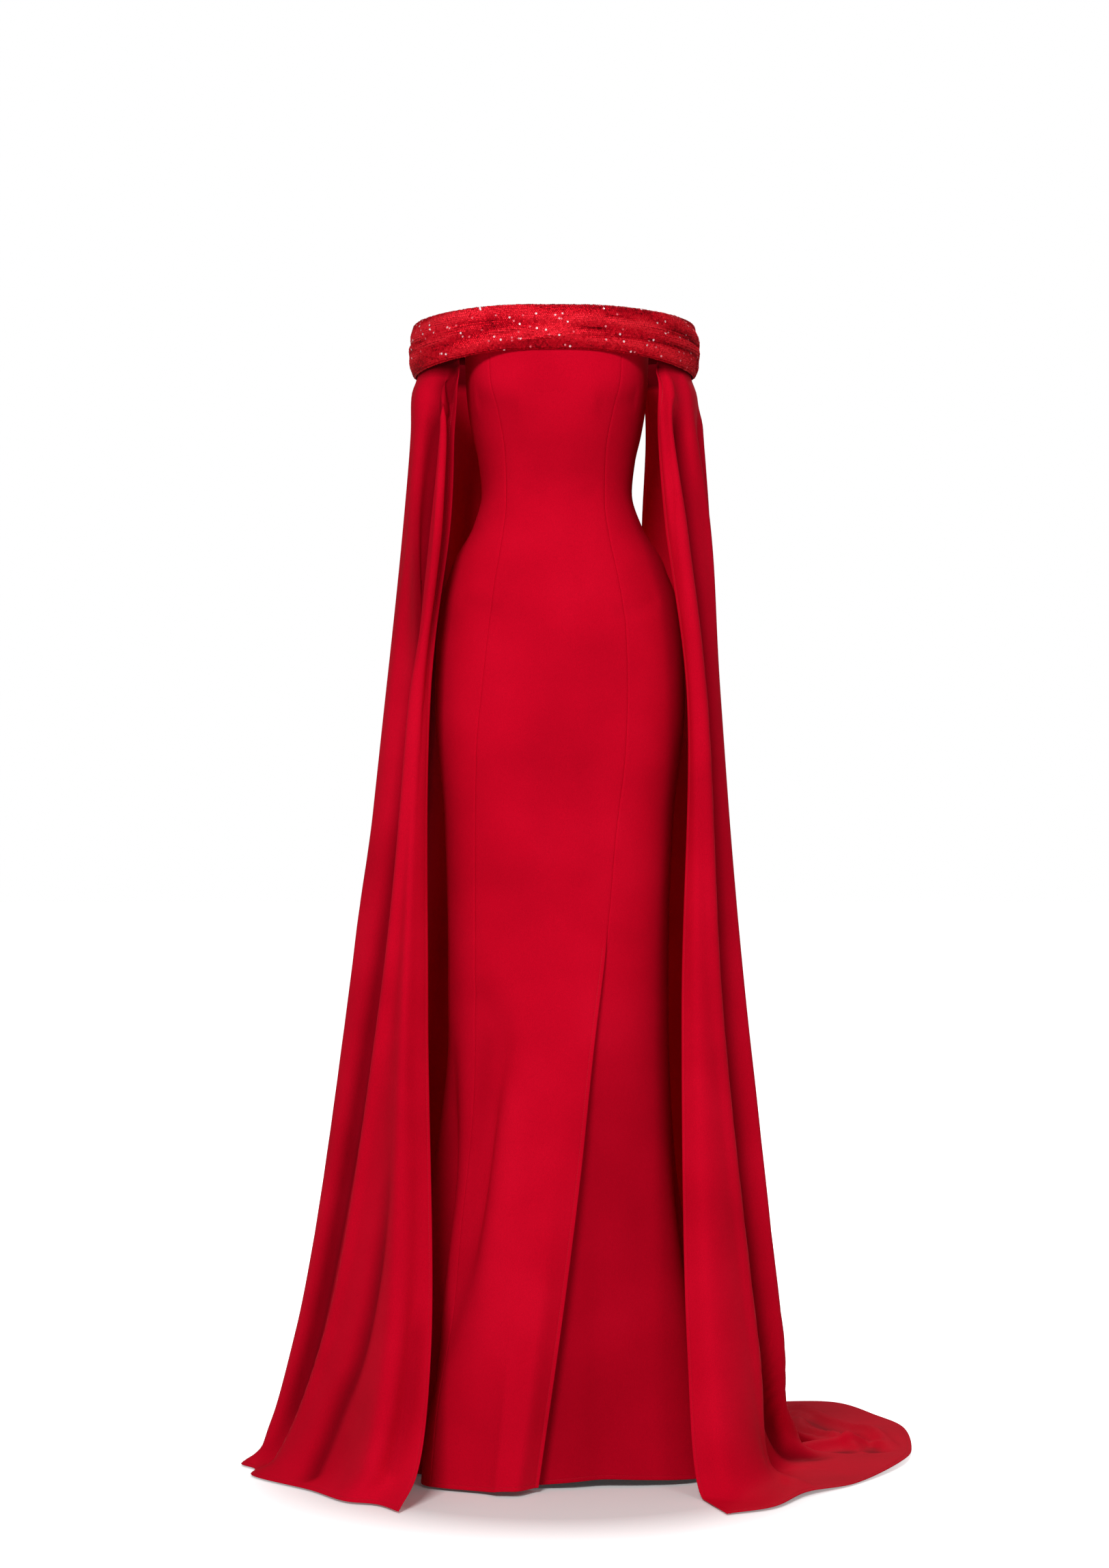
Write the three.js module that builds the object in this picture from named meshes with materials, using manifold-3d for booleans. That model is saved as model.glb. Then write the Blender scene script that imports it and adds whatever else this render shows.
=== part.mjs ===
// An off-shoulder evening gown in its worn, hollow form: a princess-seamed strapless gown with a slit,
// a draped band round the shoulders, two open floor-length cape sleeves and a concealed centre-back zip.
// Millimetres, +Z up. The front faces -Y. Right and left are the garment's own: its right side is at -X.
// Every piece is a wall of cloth on a middle surface, which tables of sections and folds shape.

import * as THREE from "three";
import { mergeVertices } from "three/addons/utils/BufferGeometryUtils.js";
import Module from "manifold-3d";

// Driving dimensions
// Heights are above the floor that the sleeves trail on. The part's origin is at MOUNT_HEIGHT.
const MOUNT_HEIGHT = 1430;
const CLOTH = 2;
const BAND_CLOTH = 2.4;
const TAPE_CLOTH = 1;
const SEAM_GAP = 0.3;
const LAP_GAP = 0.9;
const TOP_FRONT = 1450;
const TOP_BACK = 1438;
const HEM = 3;
const SLIT_HEM_RISE = 7;

// Sections of the gown, a row for each height: half the breadth, the depth to the front and to the back
// of the side line, how square the ring is (2 is an ellipse) and how far it sways to +X.
const SECTIONS = [
  { z: 1450, breadth: 118.5, front: 117, back: 92, square: 2.6, sway: 0 },
  { z: 1408, breadth: 117.3, front: 116.6, back: 96, square: 2.7, sway: 0 },
  { z: 1373, breadth: 114.6, front: 115, back: 96, square: 2.6, sway: 0 },
  { z: 1338, breadth: 108.8, front: 107, back: 93, square: 2.4, sway: 0 },
  { z: 1303, breadth: 100.9, front: 94, back: 88, square: 2.3, sway: 0 },
  { z: 1263, breadth: 96.9, front: 84, back: 83, square: 2.2, sway: 0 },
  { z: 1220, breadth: 108.8, front: 87, back: 92, square: 2.2, sway: 1 },
  { z: 1170, breadth: 137.2, front: 93, back: 108, square: 2.2, sway: 2 },
  { z: 1111, breadth: 154.9, front: 99, back: 121, square: 2.2, sway: 3 },
  { z: 1036, breadth: 160.6, front: 101, back: 127, square: 2.2, sway: 4 },
  { z: 989, breadth: 161.5, front: 101, back: 125, square: 2.2, sway: 4 },
  { z: 841, breadth: 147.8, front: 103, back: 118, square: 2.2, sway: 3 },
  { z: 664, breadth: 142.5, front: 101, back: 114, square: 2.1, sway: 2 },
  { z: 575, breadth: 142.5, front: 101, back: 117, square: 2.1, sway: 2 },
  { z: 400, breadth: 156, front: 106, back: 150, square: 2.0, sway: 2 },
  { z: 200, breadth: 191, front: 114, back: 202, square: 2.0, sway: 1 },
  { z: 3, breadth: 235, front: 125, back: 252, square: 2.0, sway: 0 },
];

// The two front seams, as sideways places. Below the slit top the left one is the free edge of the
// centre front, which sweeps across to the right.
const FRONT_SEAMS = [
  { z: 1450, right: -87, left: 83 },
  { z: 1376, right: -76, left: 72.6 },
  { z: 1303, right: -66, left: 62 },
  { z: 1249, right: -64.6, left: 61 },
  { z: 1200, right: -70, left: 67 },
  { z: 1145, right: -79, left: 78.8 },
  { z: 1080, right: -87.6, left: 88 },
  { z: 1006, right: -95.6, left: 90 },
  { z: 932, right: -102.5, left: 87.6 },
  { z: 820, right: -104.3, left: 75 },
  { z: 709, right: -104.4, left: 65.5 },
  { z: 575, right: -105, left: 48 },
  { z: 400, right: -110, left: 28 },
  { z: 200, right: -122, left: 5 },
  { z: 3, right: -133, left: -22 },
];

// The back seams lie alike on both sides.
const BACK_SEAMS = [
  { z: 1450, out: 80 },
  { z: 1263, out: 56 },
  { z: 1111, out: 80 },
  { z: 989, out: 85 },
  { z: 752, out: 78 },
  { z: 575, out: 76 },
  { z: 3, out: 122 },
];
const SIDE_SEAM_TURN = 94;

// The slit: the underlap of the left side front starts below the slit top, where the centre front has
// been lifted clear of it, and the lift is full at LIFT_FULL_AT of the panel's width.
const SLIT_TOP = 700;
const UNDERLAP_TOP = 668;
const LIFT_FULL_AT = 0.5;
const EDGE_RETURN = 0.56;
const EDGE_RETURN_FROM = 0.74;
const SLIT = [
  { z: 700, lift: 0, underlap: 0 },
  { z: 668, lift: 4.4, underlap: 0 },
  { z: 646, lift: 6.5, underlap: 24 },
  { z: 540, lift: 13, underlap: 34 },
  { z: 400, lift: 24, underlap: 46 },
  { z: 200, lift: 40, underlap: 62 },
  { z: 3, lift: 50, underlap: 78 },
];

// Fullness at the cups, between the front seams and the sides.
const CUPS = { turn: 40, spread: 19, z: 1392, tall: 36, out: 8 };

// The skirt's folds: where each starts and where it meets the hem, as a turn from the centre front to
// the garment's left, in degrees, how broad it is, how far it stands out (or in) where it is full, the
// height that it starts from and the height where it has faded again, below the floor if it never does.
const FOLD_FULL_AT = 0.62;
const FOLD_FADE = 150;
const SKIRT_FOLDS = [
  { name: "knee fold", top: -54, hem: -53, broad: 11, out: 27, from: 500, until: -200 },
  { name: "slanting hollow", top: -32, hem: -66, broad: 8, out: -13, from: 640, until: 60 },
  { name: "slanting fold", top: -22, hem: -47, broad: 9, out: 9, from: 620, until: -200 },
  { name: "hollow behind the knee fold", top: -80, hem: -73, broad: 9, out: -36, from: 620, until: -200 },
  { name: "right side fold", top: -95, hem: -95, broad: 10, out: 15, from: 560, until: -200 },
  { name: "right back hollow", top: -113, hem: -112, broad: 10, out: -24, from: 560, until: -200 },
  { name: "right back fold", top: -133, hem: -131, broad: 10, out: 19, from: 590, until: -200 },
  { name: "right train hollow", top: -153, hem: -152, broad: 9, out: -24, from: 600, until: -200 },
  { name: "right train fold", top: -171, hem: -171, broad: 9, out: 18, from: 610, until: -200 },
  { name: "train hollow", top: 172, hem: 171, broad: 8, out: -20, from: 600, until: -200 },
  { name: "left train fold", top: 155, hem: 154, broad: 9, out: 20, from: 600, until: -200 },
  { name: "left back hollow", top: 137, hem: 136, broad: 9, out: -25, from: 580, until: -200 },
  { name: "left back fold", top: 118, hem: 118, broad: 10, out: 17, from: 570, until: -200 },
  { name: "left side hollow", top: 86, hem: 86, broad: 12, out: -17, from: 560, until: -200 },
  { name: "left front fold", top: 66, hem: 61, broad: 13, out: 9, from: 620, until: -200 },
  { name: "slit hollow", top: 30, hem: 27, broad: 12, out: -8, from: 560, until: -200 },
];

// The band: an oval ring, higher and shallower in front than at the sides.
const BAND = {
  breadth: 180,
  front: 119.6,
  back: 119,
  square: 2.4,
  sway: -3.5,
  topFront: 1491,
  topSide: 1479,
  topBack: 1489,
  bottomFront: 1435,
  bottomSide: 1412,
  bottomBack: 1441,
  belly: 3.5,
};

// The band's gathers: each soft ridge runs from one turn to another, and from one share of the band's
// height to another (0 is its lower edge). It fades towards both ends and is highest at its middle.
const BAND_FOLDS = [
  { from: -104, to: -34, start: 0.2, end: 0.62, wide: 0.13, out: 3.4 },
  { from: -100, to: -44, start: 0.44, end: 0.86, wide: 0.11, out: 3.2 },
  { from: -96, to: -8, start: 0.76, end: 0.9, wide: 0.12, out: 2.6 },
  { from: -70, to: 20, start: 0.1, end: 0.5, wide: 0.14, out: 2.6 },
  { from: -34, to: 62, start: 0.72, end: 0.66, wide: 0.14, out: 2.8 },
  { from: -12, to: 100, start: 0.3, end: 0.16, wide: 0.14, out: 3.2 },
  { from: 30, to: 104, start: 0.62, end: 0.4, wide: 0.1, out: 3.4 },
  { from: 52, to: 98, start: 0.9, end: 0.64, wide: 0.1, out: 3.2 },
  { from: 84, to: 150, start: 0.24, end: 0.36, wide: 0.13, out: 3.2 },
  { from: 80, to: 172, start: 0.56, end: 0.7, wide: 0.13, out: 3 },
  { from: 122, to: 236, start: 0.4, end: 0.3, wide: 0.14, out: 2.8 },
  { from: 150, to: 262, start: 0.78, end: 0.62, wide: 0.13, out: 3 },
  { from: 204, to: 268, start: 0.34, end: 0.22, wide: 0.12, out: 3.2 },
];

// The cape sleeves hang in folds from inside the band. Each row is a line down the cloth: its turn on
// the band, its places from the bust to the shin, where it meets the floor and where the hem lies.
// Under the band the cloth springs out a little, by LIP_SPRING at the side.
const SLEEVE_TOP = 1442;
const SLEEVE_FLOOR = 3;
const SLEEVE_HEIGHTS = { bust: 1340, waist: 1220, hip: 1000, knee: 600, shin: 180 };
const LIP_HEIGHT = 1392;
const LIP_SHARE = 0.35;
const LIP_SPRING = 4;
const LEFT_SLEEVE = [
  { line: "front edge", turn: 56, bust: [128, -86], waist: [137, -82], hip: [165, -82],
    knee: [158, -95], shin: [163, -146], floor: [177, -180, 8], hem: [206, -271, 3] },
  { line: "front face", turn: 58.5, bust: [136, -93], waist: [147, -92], hip: [173, -96],
    knee: [178, -110], shin: [196, -158], floor: [218, -190, 12], hem: [264, -239, 4] },
  { line: "first ridge", turn: 61.5, bust: [144, -94], waist: [158, -95], hip: [184, -92],
    knee: [204, -90], shin: [247, -106], floor: [266, -124, 24], hem: [312, -164, 6] },
  { line: "first hollow", turn: 67, bust: [151, -62], waist: [166, -58], hip: [186, -58],
    knee: [207, -49], shin: [249, -50], floor: [270, -54, 6], hem: [376, -102, 3] },
  { line: "side ridge", turn: 74, bust: [178, -32], waist: [197, -12], hip: [212, -4],
    knee: [242, 8], shin: [289, 20], floor: [312, 40, 30], hem: [452, 20, 8] },
  { line: "side hollow", turn: 86, bust: [181, 0], waist: [189, 14], hip: [202, 30],
    knee: [227, 46], shin: [270, 68], floor: [296, 88, 6], hem: [474, 130, 3] },
  { line: "second ridge", turn: 98, bust: [186, 27], waist: [196, 42], hip: [201, 60],
    knee: [235, 86], shin: [286, 114], floor: [312, 134, 24], hem: [474, 228, 8] },
  { line: "rear hollow", turn: 108, bust: [165, 52], waist: [170, 62], hip: [180, 84],
    knee: [204, 118], shin: [244, 158], floor: [266, 180, 6], hem: [448, 340, 3] },
  { line: "rear ridge", turn: 118, bust: [150, 84], waist: [156, 98], hip: [162, 118],
    knee: [192, 166], shin: [234, 216], floor: [256, 240, 20], hem: [396, 420, 6] },
  { line: "rear edge", turn: 129, bust: [118, 102], waist: [113, 114], hip: [113, 138],
    knee: [138, 186], shin: [172, 246], floor: [190, 272, 6], hem: [300, 440, 3] },
];
const RIGHT_SLEEVE = [
  { line: "front edge", turn: -52, bust: [-128, -83], waist: [-133, -78], hip: [-160, -80],
    knee: [-163, -94], shin: [-157, -160], floor: [-172, -222, 40], hem: [-193, -261, 3] },
  { line: "front hollow", turn: -57, bust: [-135, -86], waist: [-141, -84], hip: [-167, -91],
    knee: [-177, -106], shin: [-183, -158], floor: [-204, -202, 32], hem: [-222, -221, 3] },
  { line: "front fold", turn: -59.5, bust: [-144, -101], waist: [-152, -102], hip: [-174, -98],
    knee: [-193, -117], shin: [-208, -168], floor: [-238, -204, 32], hem: [-259, -207, 3] },
  { line: "inner hollow", turn: -64, bust: [-153, -74], waist: [-162, -76], hip: [-180, -92],
    knee: [-207, -96], shin: [-248, -112], floor: [-284, -126, 28], hem: [-308, -142, 3] },
  { line: "main ridge", turn: -71, bust: [-173, -61], waist: [-181, -68], hip: [-186, -82],
    knee: [-223, -77], shin: [-292, -60], floor: [-352, -52, 30], hem: [-391, -52, 3] },
  { line: "side hollow", turn: -80, bust: [-181, -32], waist: [-187, -40], hip: [-190, -50],
    knee: [-227, -42], shin: [-295, -22], floor: [-350, -12, 20], hem: [-390, -14, 3] },
  { line: "side ridge", turn: -92, bust: [-189, 4], waist: [-199, 4], hip: [-222, 4],
    knee: [-269, 15], shin: [-337, 32], floor: [-384, 26, 24], hem: [-411, 18, 3] },
  { line: "rear hollow", turn: -104, bust: [-174, 38], waist: [-185, 38], hip: [-204, 40],
    knee: [-243, 60], shin: [-299, 84], floor: [-338, 92, 16], hem: [-362, 96, 3] },
  { line: "rear ridge", turn: -113, bust: [-168, 72], waist: [-179, 76], hip: [-196, 80],
    knee: [-240, 110], shin: [-300, 150], floor: [-340, 172, 20], hem: [-365, 184, 3] },
  { line: "back hollow", turn: -122, bust: [-141, 84], waist: [-150, 90], hip: [-165, 104],
    knee: [-199, 144], shin: [-247, 192], floor: [-276, 216, 16], hem: [-296, 232, 3] },
  { line: "back ridge", turn: -131, bust: [-122, 107], waist: [-130, 117], hip: [-138, 136],
    knee: [-168, 188], shin: [-213, 250], floor: [-240, 284, 18], hem: [-257, 305, 3] },
  { line: "rear edge", turn: -140, bust: [-91, 108], waist: [-90, 119], hip: [-86, 144],
    knee: [-100, 194], shin: [-127, 258], floor: [-140, 290, 14], hem: [-150, 308, 3] },
];

// The concealed zip: a tape inside the centre-back seam, a slider at its top and a pull tab.
const ZIP = { top: 1424, bottom: 1010, tapeHalf: 11, sliderZ: 1418 };
const SLIDER = { wide: 6.4, tall: 11, thick: 1.6, ear: 1.1, earTall: 3.2, pin: 0.5, pinOff: 2, pinUp: 2.5 };
const TAB = { wide: 3.2, long: 21, thick: 1.1, eye: 1.3, bore: 0.85 };

// The grid of each gown panel: heights shared by all, and columns across.
const LEVELS = [1432, 1408, 1380, 1350, 1320, 1292, 1263, 1236, 1208, 1178, 1145, 1105, 1060, 1010,
  950, 880, 800, 740, 700, 668, 646, 600, 540, 470, 400, 330, 260, 190, 120, 60];
const COLUMNS = { centreFront: 10, sideFrontRight: 6, sideFrontLeft: 9, sideBack: 9, centreBack: 6 };
const SLEEVE_COLUMNS_A_LINE = 2;
const SLEEVE_ROWS = 27;
const BAND_COLUMNS = 30;
const BAND_ROWS = 10;
const ROUND = 16;

// Numbers and tables
const radians = THREE.MathUtils.degToRad;
const clamp = THREE.MathUtils.clamp;

function ease(share) {
  const s = clamp(share, 0, 1);
  return s * s * (3 - 2 * s);
}

function mix(a, b, share) {
  return a + (b - a) * share;
}

// A smooth curve through one column of a table, with no overshoot between its rows.
function column(table, name) {
  const rows = [...table].sort((a, b) => a.z - b.z);
  const last = rows.length - 1;
  const slopes = [];
  for (let i = 0; i < last; i++) {
    slopes.push((rows[i + 1][name] - rows[i][name]) / (rows[i + 1].z - rows[i].z));
  }
  const leans = rows.map((row, i) => {
    if (i === 0) return slopes[0];
    if (i === last) return slopes[last - 1];
    const before = slopes[i - 1];
    const after = slopes[i];
    return before * after > 0 ? (2 * before * after) / (before + after) : 0;
  });
  return (z) => {
    if (z <= rows[0].z) return rows[0][name];
    if (z >= rows[last].z) return rows[last][name];
    let i = 0;
    while (rows[i + 1].z < z) i++;
    const step = rows[i + 1].z - rows[i].z;
    const t = (z - rows[i].z) / step;
    const rise = 3 * t * t - 2 * t * t * t;
    return (
      rows[i][name] * (1 - rise) +
      rows[i + 1][name] * rise +
      leans[i] * step * t * (1 - t) * (1 - t) -
      leans[i + 1] * step * t * t * (1 - t)
    );
  };
}

const breadthAt = column(SECTIONS, "breadth");
const frontAt = column(SECTIONS, "front");
const backAt = column(SECTIONS, "back");
const squareAt = column(SECTIONS, "square");
const swayAt = column(SECTIONS, "sway");
const rightSeamAt = column(FRONT_SEAMS, "right");
const leftSeamAt = column(FRONT_SEAMS, "left");
const backSeamAt = column(BACK_SEAMS, "out");
const liftAt = column(SLIT, "lift");
const underlapAt = column(SLIT, "underlap");

// The distance from the axis to a squared ellipse, in the direction of a turn from the front.
function ovalRadius(turn, breadth, depth, square) {
  const across = Math.abs(Math.sin(turn)) / breadth;
  const along = Math.abs(Math.cos(turn)) / depth;
  return Math.pow(Math.pow(across, square) + Math.pow(along, square), -1 / square);
}

function turnBetween(a, b) {
  return THREE.MathUtils.euclideanModulo(a - b + Math.PI, 2 * Math.PI) - Math.PI;
}

function bump(distance, spread) {
  return Math.exp(-(distance * distance) / (spread * spread));
}

// The gown's middle surface
function foldOut(turn, z) {
  let out = 0;
  for (const fold of SKIRT_FOLDS) {
    const down = clamp((fold.from - z) / fold.from, 0, 1);
    const middle = radians(mix(fold.top, fold.hem, down));
    const fullness = ease(down / FOLD_FULL_AT) * ease((z - fold.until) / FOLD_FADE);
    out += fold.out * fullness * bump(turnBetween(turn, middle), radians(fold.broad));
  }
  return out;
}

function cupOut(turn, z) {
  const sideways = bump(Math.abs(turn) - radians(CUPS.turn), radians(CUPS.spread));
  return CUPS.out * sideways * bump(z - CUPS.z, CUPS.tall);
}

function gownPoint(turn, z) {
  const depth = Math.cos(turn) > 0 ? frontAt(z) : backAt(z);
  const radius = ovalRadius(turn, breadthAt(z), depth, squareAt(z)) + foldOut(turn, z) + cupOut(turn, z);
  return new THREE.Vector3(swayAt(z) + radius * Math.sin(turn), -radius * Math.cos(turn), z);
}

// The turn at which the front or the back of the ring passes a sideways place.
function turnAt(x, z, onBack = false) {
  const depth = onBack ? backAt(z) : frontAt(z);
  const square = squareAt(z);
  const share = clamp(Math.abs(x - swayAt(z)) / breadthAt(z), 0, 0.999);
  const y = depth * Math.pow(1 - Math.pow(share, square), 1 / square);
  return Math.atan2(x - swayAt(z), onBack ? -y : y);
}

function topAt(turn) {
  return mix(TOP_BACK, TOP_FRONT, (1 + Math.cos(turn)) / 2);
}

function hemAt(turn) {
  return HEM + SLIT_HEM_RISE * bump(turnBetween(turn, radians(28)), radians(38));
}

// Walls
// The way out of a surface is square to its two directions, across and down.
function outOf(surface, u, v, du, dv) {
  const across = surface(u + du, v).sub(surface(u - du, v));
  const down = surface(u, v + dv).sub(surface(u, v - dv));
  return down.cross(across).normalize();
}

// A closed wall from a grid of middle points with their ways out. Columns run anticlockwise seen from
// above and rows run down. out and inwards are the distances to its two faces.
function wall(columns, rows, pointAt, out, inwards) {
  const positions = [];
  const indices = [];
  const index = (side, i, j) => side * (columns + 1) * (rows + 1) + j * (columns + 1) + i;
  for (const side of [0, 1]) {
    for (let j = 0; j <= rows; j++) {
      for (let i = 0; i <= columns; i++) {
        const { point, normal, raise = 0 } = pointAt(i / columns, j / rows, i, j);
        const distance = side === 0 ? out + raise : -inwards;
        positions.push(...point.clone().addScaledVector(normal, distance).toArray());
      }
    }
  }
  const quad = (a, b, c, d) => indices.push(a, b, c, a, c, d);
  for (let j = 0; j < rows; j++) {
    for (let i = 0; i < columns; i++) {
      quad(index(0, i, j), index(0, i, j + 1), index(0, i + 1, j + 1), index(0, i + 1, j));
      quad(index(1, i, j), index(1, i + 1, j), index(1, i + 1, j + 1), index(1, i, j + 1));
    }
  }
  for (let i = 0; i < columns; i++) {
    quad(index(0, i, 0), index(0, i + 1, 0), index(1, i + 1, 0), index(1, i, 0));
    quad(index(0, i, rows), index(1, i, rows), index(1, i + 1, rows), index(0, i + 1, rows));
  }
  for (let j = 0; j < rows; j++) {
    quad(index(0, 0, j), index(1, 0, j), index(1, 0, j + 1), index(0, 0, j + 1));
    quad(index(0, columns, j), index(0, columns, j + 1), index(1, columns, j + 1), index(1, columns, j));
  }
  const geometry = new THREE.BufferGeometry();
  geometry.setAttribute("position", new THREE.Float32BufferAttribute(positions, 3));
  geometry.setIndex(indices);
  geometry.computeVertexNormals();
  return geometry;
}

const TURN_STEP = 0.002;
const HEIGHT_STEP = 0.5;

function gownHeight(turn, j) {
  if (j === 0) return topAt(turn);
  if (j > LEVELS.length) return hemAt(turn);
  return LEVELS[j - 1];
}

// A gown panel between two edges, each a turn at a height. A panel may also be lifted off the ring.
function gownPanel(columns, fromEdge, toEdge, lift = () => 0) {
  const surface = (turn, z, share) => {
    const point = gownPoint(turn, z);
    const out = lift(share, z);
    return out > 0 ? point.addScaledVector(outOf(gownPoint, turn, z, TURN_STEP, -HEIGHT_STEP), out) : point;
  };
  return wall(columns, LEVELS.length + 1, (across, down, i, j) => {
    const middle = j === 0 ? TOP_FRONT : gownHeight(0, j);
    const from = fromEdge(middle);
    const to = toEdge(middle);
    const halfGap = SEAM_GAP / 2 / gownPoint((from + to) / 2, middle).length();
    const turn = mix(from + halfGap, to - halfGap, across);
    const z = gownHeight(turn, j);
    const shareOf = (t) => (t - from) / (to - from);
    const bent = (t, height) => surface(t, height, shareOf(t));
    return { point: bent(turn, z), normal: outOf(bent, turn, z, TURN_STEP, -HEIGHT_STEP) };
  }, CLOTH / 2, CLOTH / 2);
}

// The seams as turns
const seams = {
  right: (z) => turnAt(rightSeamAt(z), z),
  left: (z) => turnAt(leftSeamAt(z), z),
  underlap: (z) => turnAt(leftSeamAt(z) - (z < UNDERLAP_TOP ? underlapAt(z) : 0), z),
  leftSide: () => radians(SIDE_SEAM_TURN),
  rightSide: () => radians(-SIDE_SEAM_TURN),
  leftBack: (z) => turnAt(backSeamAt(z), z, true),
  rightBack: (z) => turnAt(-backSeamAt(z), z, true),
  centreBackLeft: () => Math.PI,
  centreBackRight: () => -Math.PI,
};

// Below the slit top the centre front stands forward of the underlap, and its free edge turns back.
function frontLift(share, z) {
  if (z >= SLIT_TOP) return 0;
  const nearEdge = ease((share - EDGE_RETURN_FROM) / (1 - EDGE_RETURN_FROM));
  const back = EDGE_RETURN * ease((SLIT_TOP - z) / SLIT_TOP) * nearEdge;
  return liftAt(z) * ease(share / LIFT_FULL_AT) * (1 - back);
}

// The band's middle surface: share 0 is its lower edge and 1 its upper edge.
function bandEdge(turn, front, side, back) {
  const s = Math.sin(turn) * Math.sin(turn);
  return mix(Math.cos(turn) > 0 ? front : back, side, s * s);
}

function bandPoint(turn, share) {
  const depth = Math.cos(turn) > 0 ? BAND.front : BAND.back;
  const bottom = bandEdge(turn, BAND.bottomFront, BAND.bottomSide, BAND.bottomBack);
  const top = bandEdge(turn, BAND.topFront, BAND.topSide, BAND.topBack);
  const belly = BAND.belly * 4 * share * (1 - share);
  const radius = ovalRadius(turn, BAND.breadth, depth, BAND.square) + belly;
  const x = BAND.sway + radius * Math.sin(turn);
  return new THREE.Vector3(x, -radius * Math.cos(turn), mix(bottom, top, share));
}

function bandGather(turn, share) {
  const degrees = THREE.MathUtils.euclideanModulo(THREE.MathUtils.radToDeg(turn) + 110, 360) - 110;
  let out = 0;
  for (const fold of BAND_FOLDS) {
    const along = (degrees - fold.from) / (fold.to - fold.from);
    if (along <= 0 || along >= 1) continue;
    const line = mix(fold.start, fold.end, ease(along));
    out += fold.out * Math.sqrt(Math.sin(Math.PI * along)) * bump(share - line, fold.wide);
  }
  return out;
}

// One half of the band, with its gathers raised in the outer face over a plain inside.
function bandPiece(fromDegrees, toDegrees) {
  const halfGap = SEAM_GAP / 2 / BAND.breadth;
  const from = radians(fromDegrees) + halfGap;
  const to = radians(toDegrees) - halfGap;
  return wall(BAND_COLUMNS, BAND_ROWS, (across, down) => {
    const turn = mix(from, to, across);
    const share = 1 - down;
    const normal = outOf((t, d) => bandPoint(t, 1 - d), turn, down, TURN_STEP, TURN_STEP);
    return { point: bandPoint(turn, share), normal, raise: bandGather(turn, share) };
  }, BAND_CLOTH / 2, BAND_CLOTH / 2);
}

// A sleeve's middle surface: a smooth curve down each line of its table, then one across the lines.
function sleeveTop(turn) {
  const inset = BAND_CLOTH / 2 + LAP_GAP + CLOTH / 2;
  const depth = Math.cos(turn) > 0 ? BAND.front : BAND.back;
  const radius = ovalRadius(turn, BAND.breadth - inset, depth - inset, BAND.square);
  return new THREE.Vector3(BAND.sway + radius * Math.sin(turn), -radius * Math.cos(turn), SLEEVE_TOP);
}

function sleeveSurface(table) {
  const lines = table.map((row) => {
    const turn = radians(row.turn);
    const top = sleeveTop(turn);
    const under = top.clone().setZ(BAND.bottomSide);
    const placed = Object.entries(SLEEVE_HEIGHTS).map(([name, z]) => new THREE.Vector3(...row[name], z));
    const out = new THREE.Vector3(Math.sin(turn), -Math.cos(turn), 0);
    const lip = under.clone().lerp(placed[0], LIP_SHARE).setZ(LIP_HEIGHT);
    lip.addScaledVector(out, LIP_SPRING * Math.pow(Math.sin(turn), 4));
    const ends = [new THREE.Vector3(...row.floor), new THREE.Vector3(...row.hem)];
    const points = [top, under, lip, ...placed, ...ends];
    return new THREE.CatmullRomCurve3(points, false, "centripetal");
  });
  return (u, v) => {
    const row = lines.map((line) => line.getPoint(clamp(v, 0, 1)));
    const point = new THREE.CatmullRomCurve3(row, false, "centripetal").getPoint(clamp(u, 0, 1));
    return point.setZ(Math.max(point.z, SLEEVE_FLOOR));
  };
}

function sleeve(table) {
  const ordered = table[0].turn < table[table.length - 1].turn ? table : [...table].reverse();
  const surface = sleeveSurface(ordered);
  const columns = (ordered.length - 1) * SLEEVE_COLUMNS_A_LINE;
  return wall(columns, SLEEVE_ROWS, (u, v) => {
    return { point: surface(u, v), normal: outOf(surface, u, v, TURN_STEP, TURN_STEP) };
  }, CLOTH / 2, CLOTH / 2);
}

// Zip pieces
function zipTape() {
  const inset = CLOTH / 2 + LAP_GAP + TAPE_CLOTH / 2;
  const heights = [ZIP.top, ...LEVELS.filter((z) => z < ZIP.top && z > ZIP.bottom), ZIP.bottom];
  return wall(4, heights.length - 1, (across, down, i, j) => {
    const z = heights[j];
    const half = ZIP.tapeHalf / backAt(z);
    const turn = Math.PI + mix(-half, half, across);
    const normal = outOf(gownPoint, turn, z, TURN_STEP, -HEIGHT_STEP);
    return { point: gownPoint(turn, z).addScaledVector(normal, -inset), normal };
  }, TAPE_CLOTH / 2, TAPE_CLOTH / 2);
}

// The slider's flat back lies just off the cloth, and its pin stands pinOff from its face.
function sliderFace() {
  const reach = SLIDER.tall / 2;
  const heights = [ZIP.sliderZ - reach, ZIP.sliderZ, ZIP.sliderZ + reach];
  const cloth = Math.max(...heights.map((z) => gownPoint(Math.PI, z).y)) + CLOTH / 2;
  return cloth + SEAM_GAP + SLIDER.thick;
}

const wasm = await Module();
wasm.setup();

function asSolid(geometry) {
  const bare = geometry.clone();
  bare.deleteAttribute("normal");
  bare.deleteAttribute("uv");
  const merged = mergeVertices(bare, 1e-4);
  return new wasm.Manifold(
    new wasm.Mesh({
      numProp: 3,
      vertProperties: new Float32Array(merged.attributes.position.array),
      triVerts: new Uint32Array(merged.index.array),
    }),
  );
}

function asGeometry(solid) {
  const mesh = solid.getMesh();
  const geometry = new THREE.BufferGeometry();
  geometry.setAttribute("position", new THREE.Float32BufferAttribute(mesh.vertProperties, 3));
  geometry.setIndex(new THREE.Uint32BufferAttribute(mesh.triVerts, 1));
  geometry.computeVertexNormals();
  return geometry;
}

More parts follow.
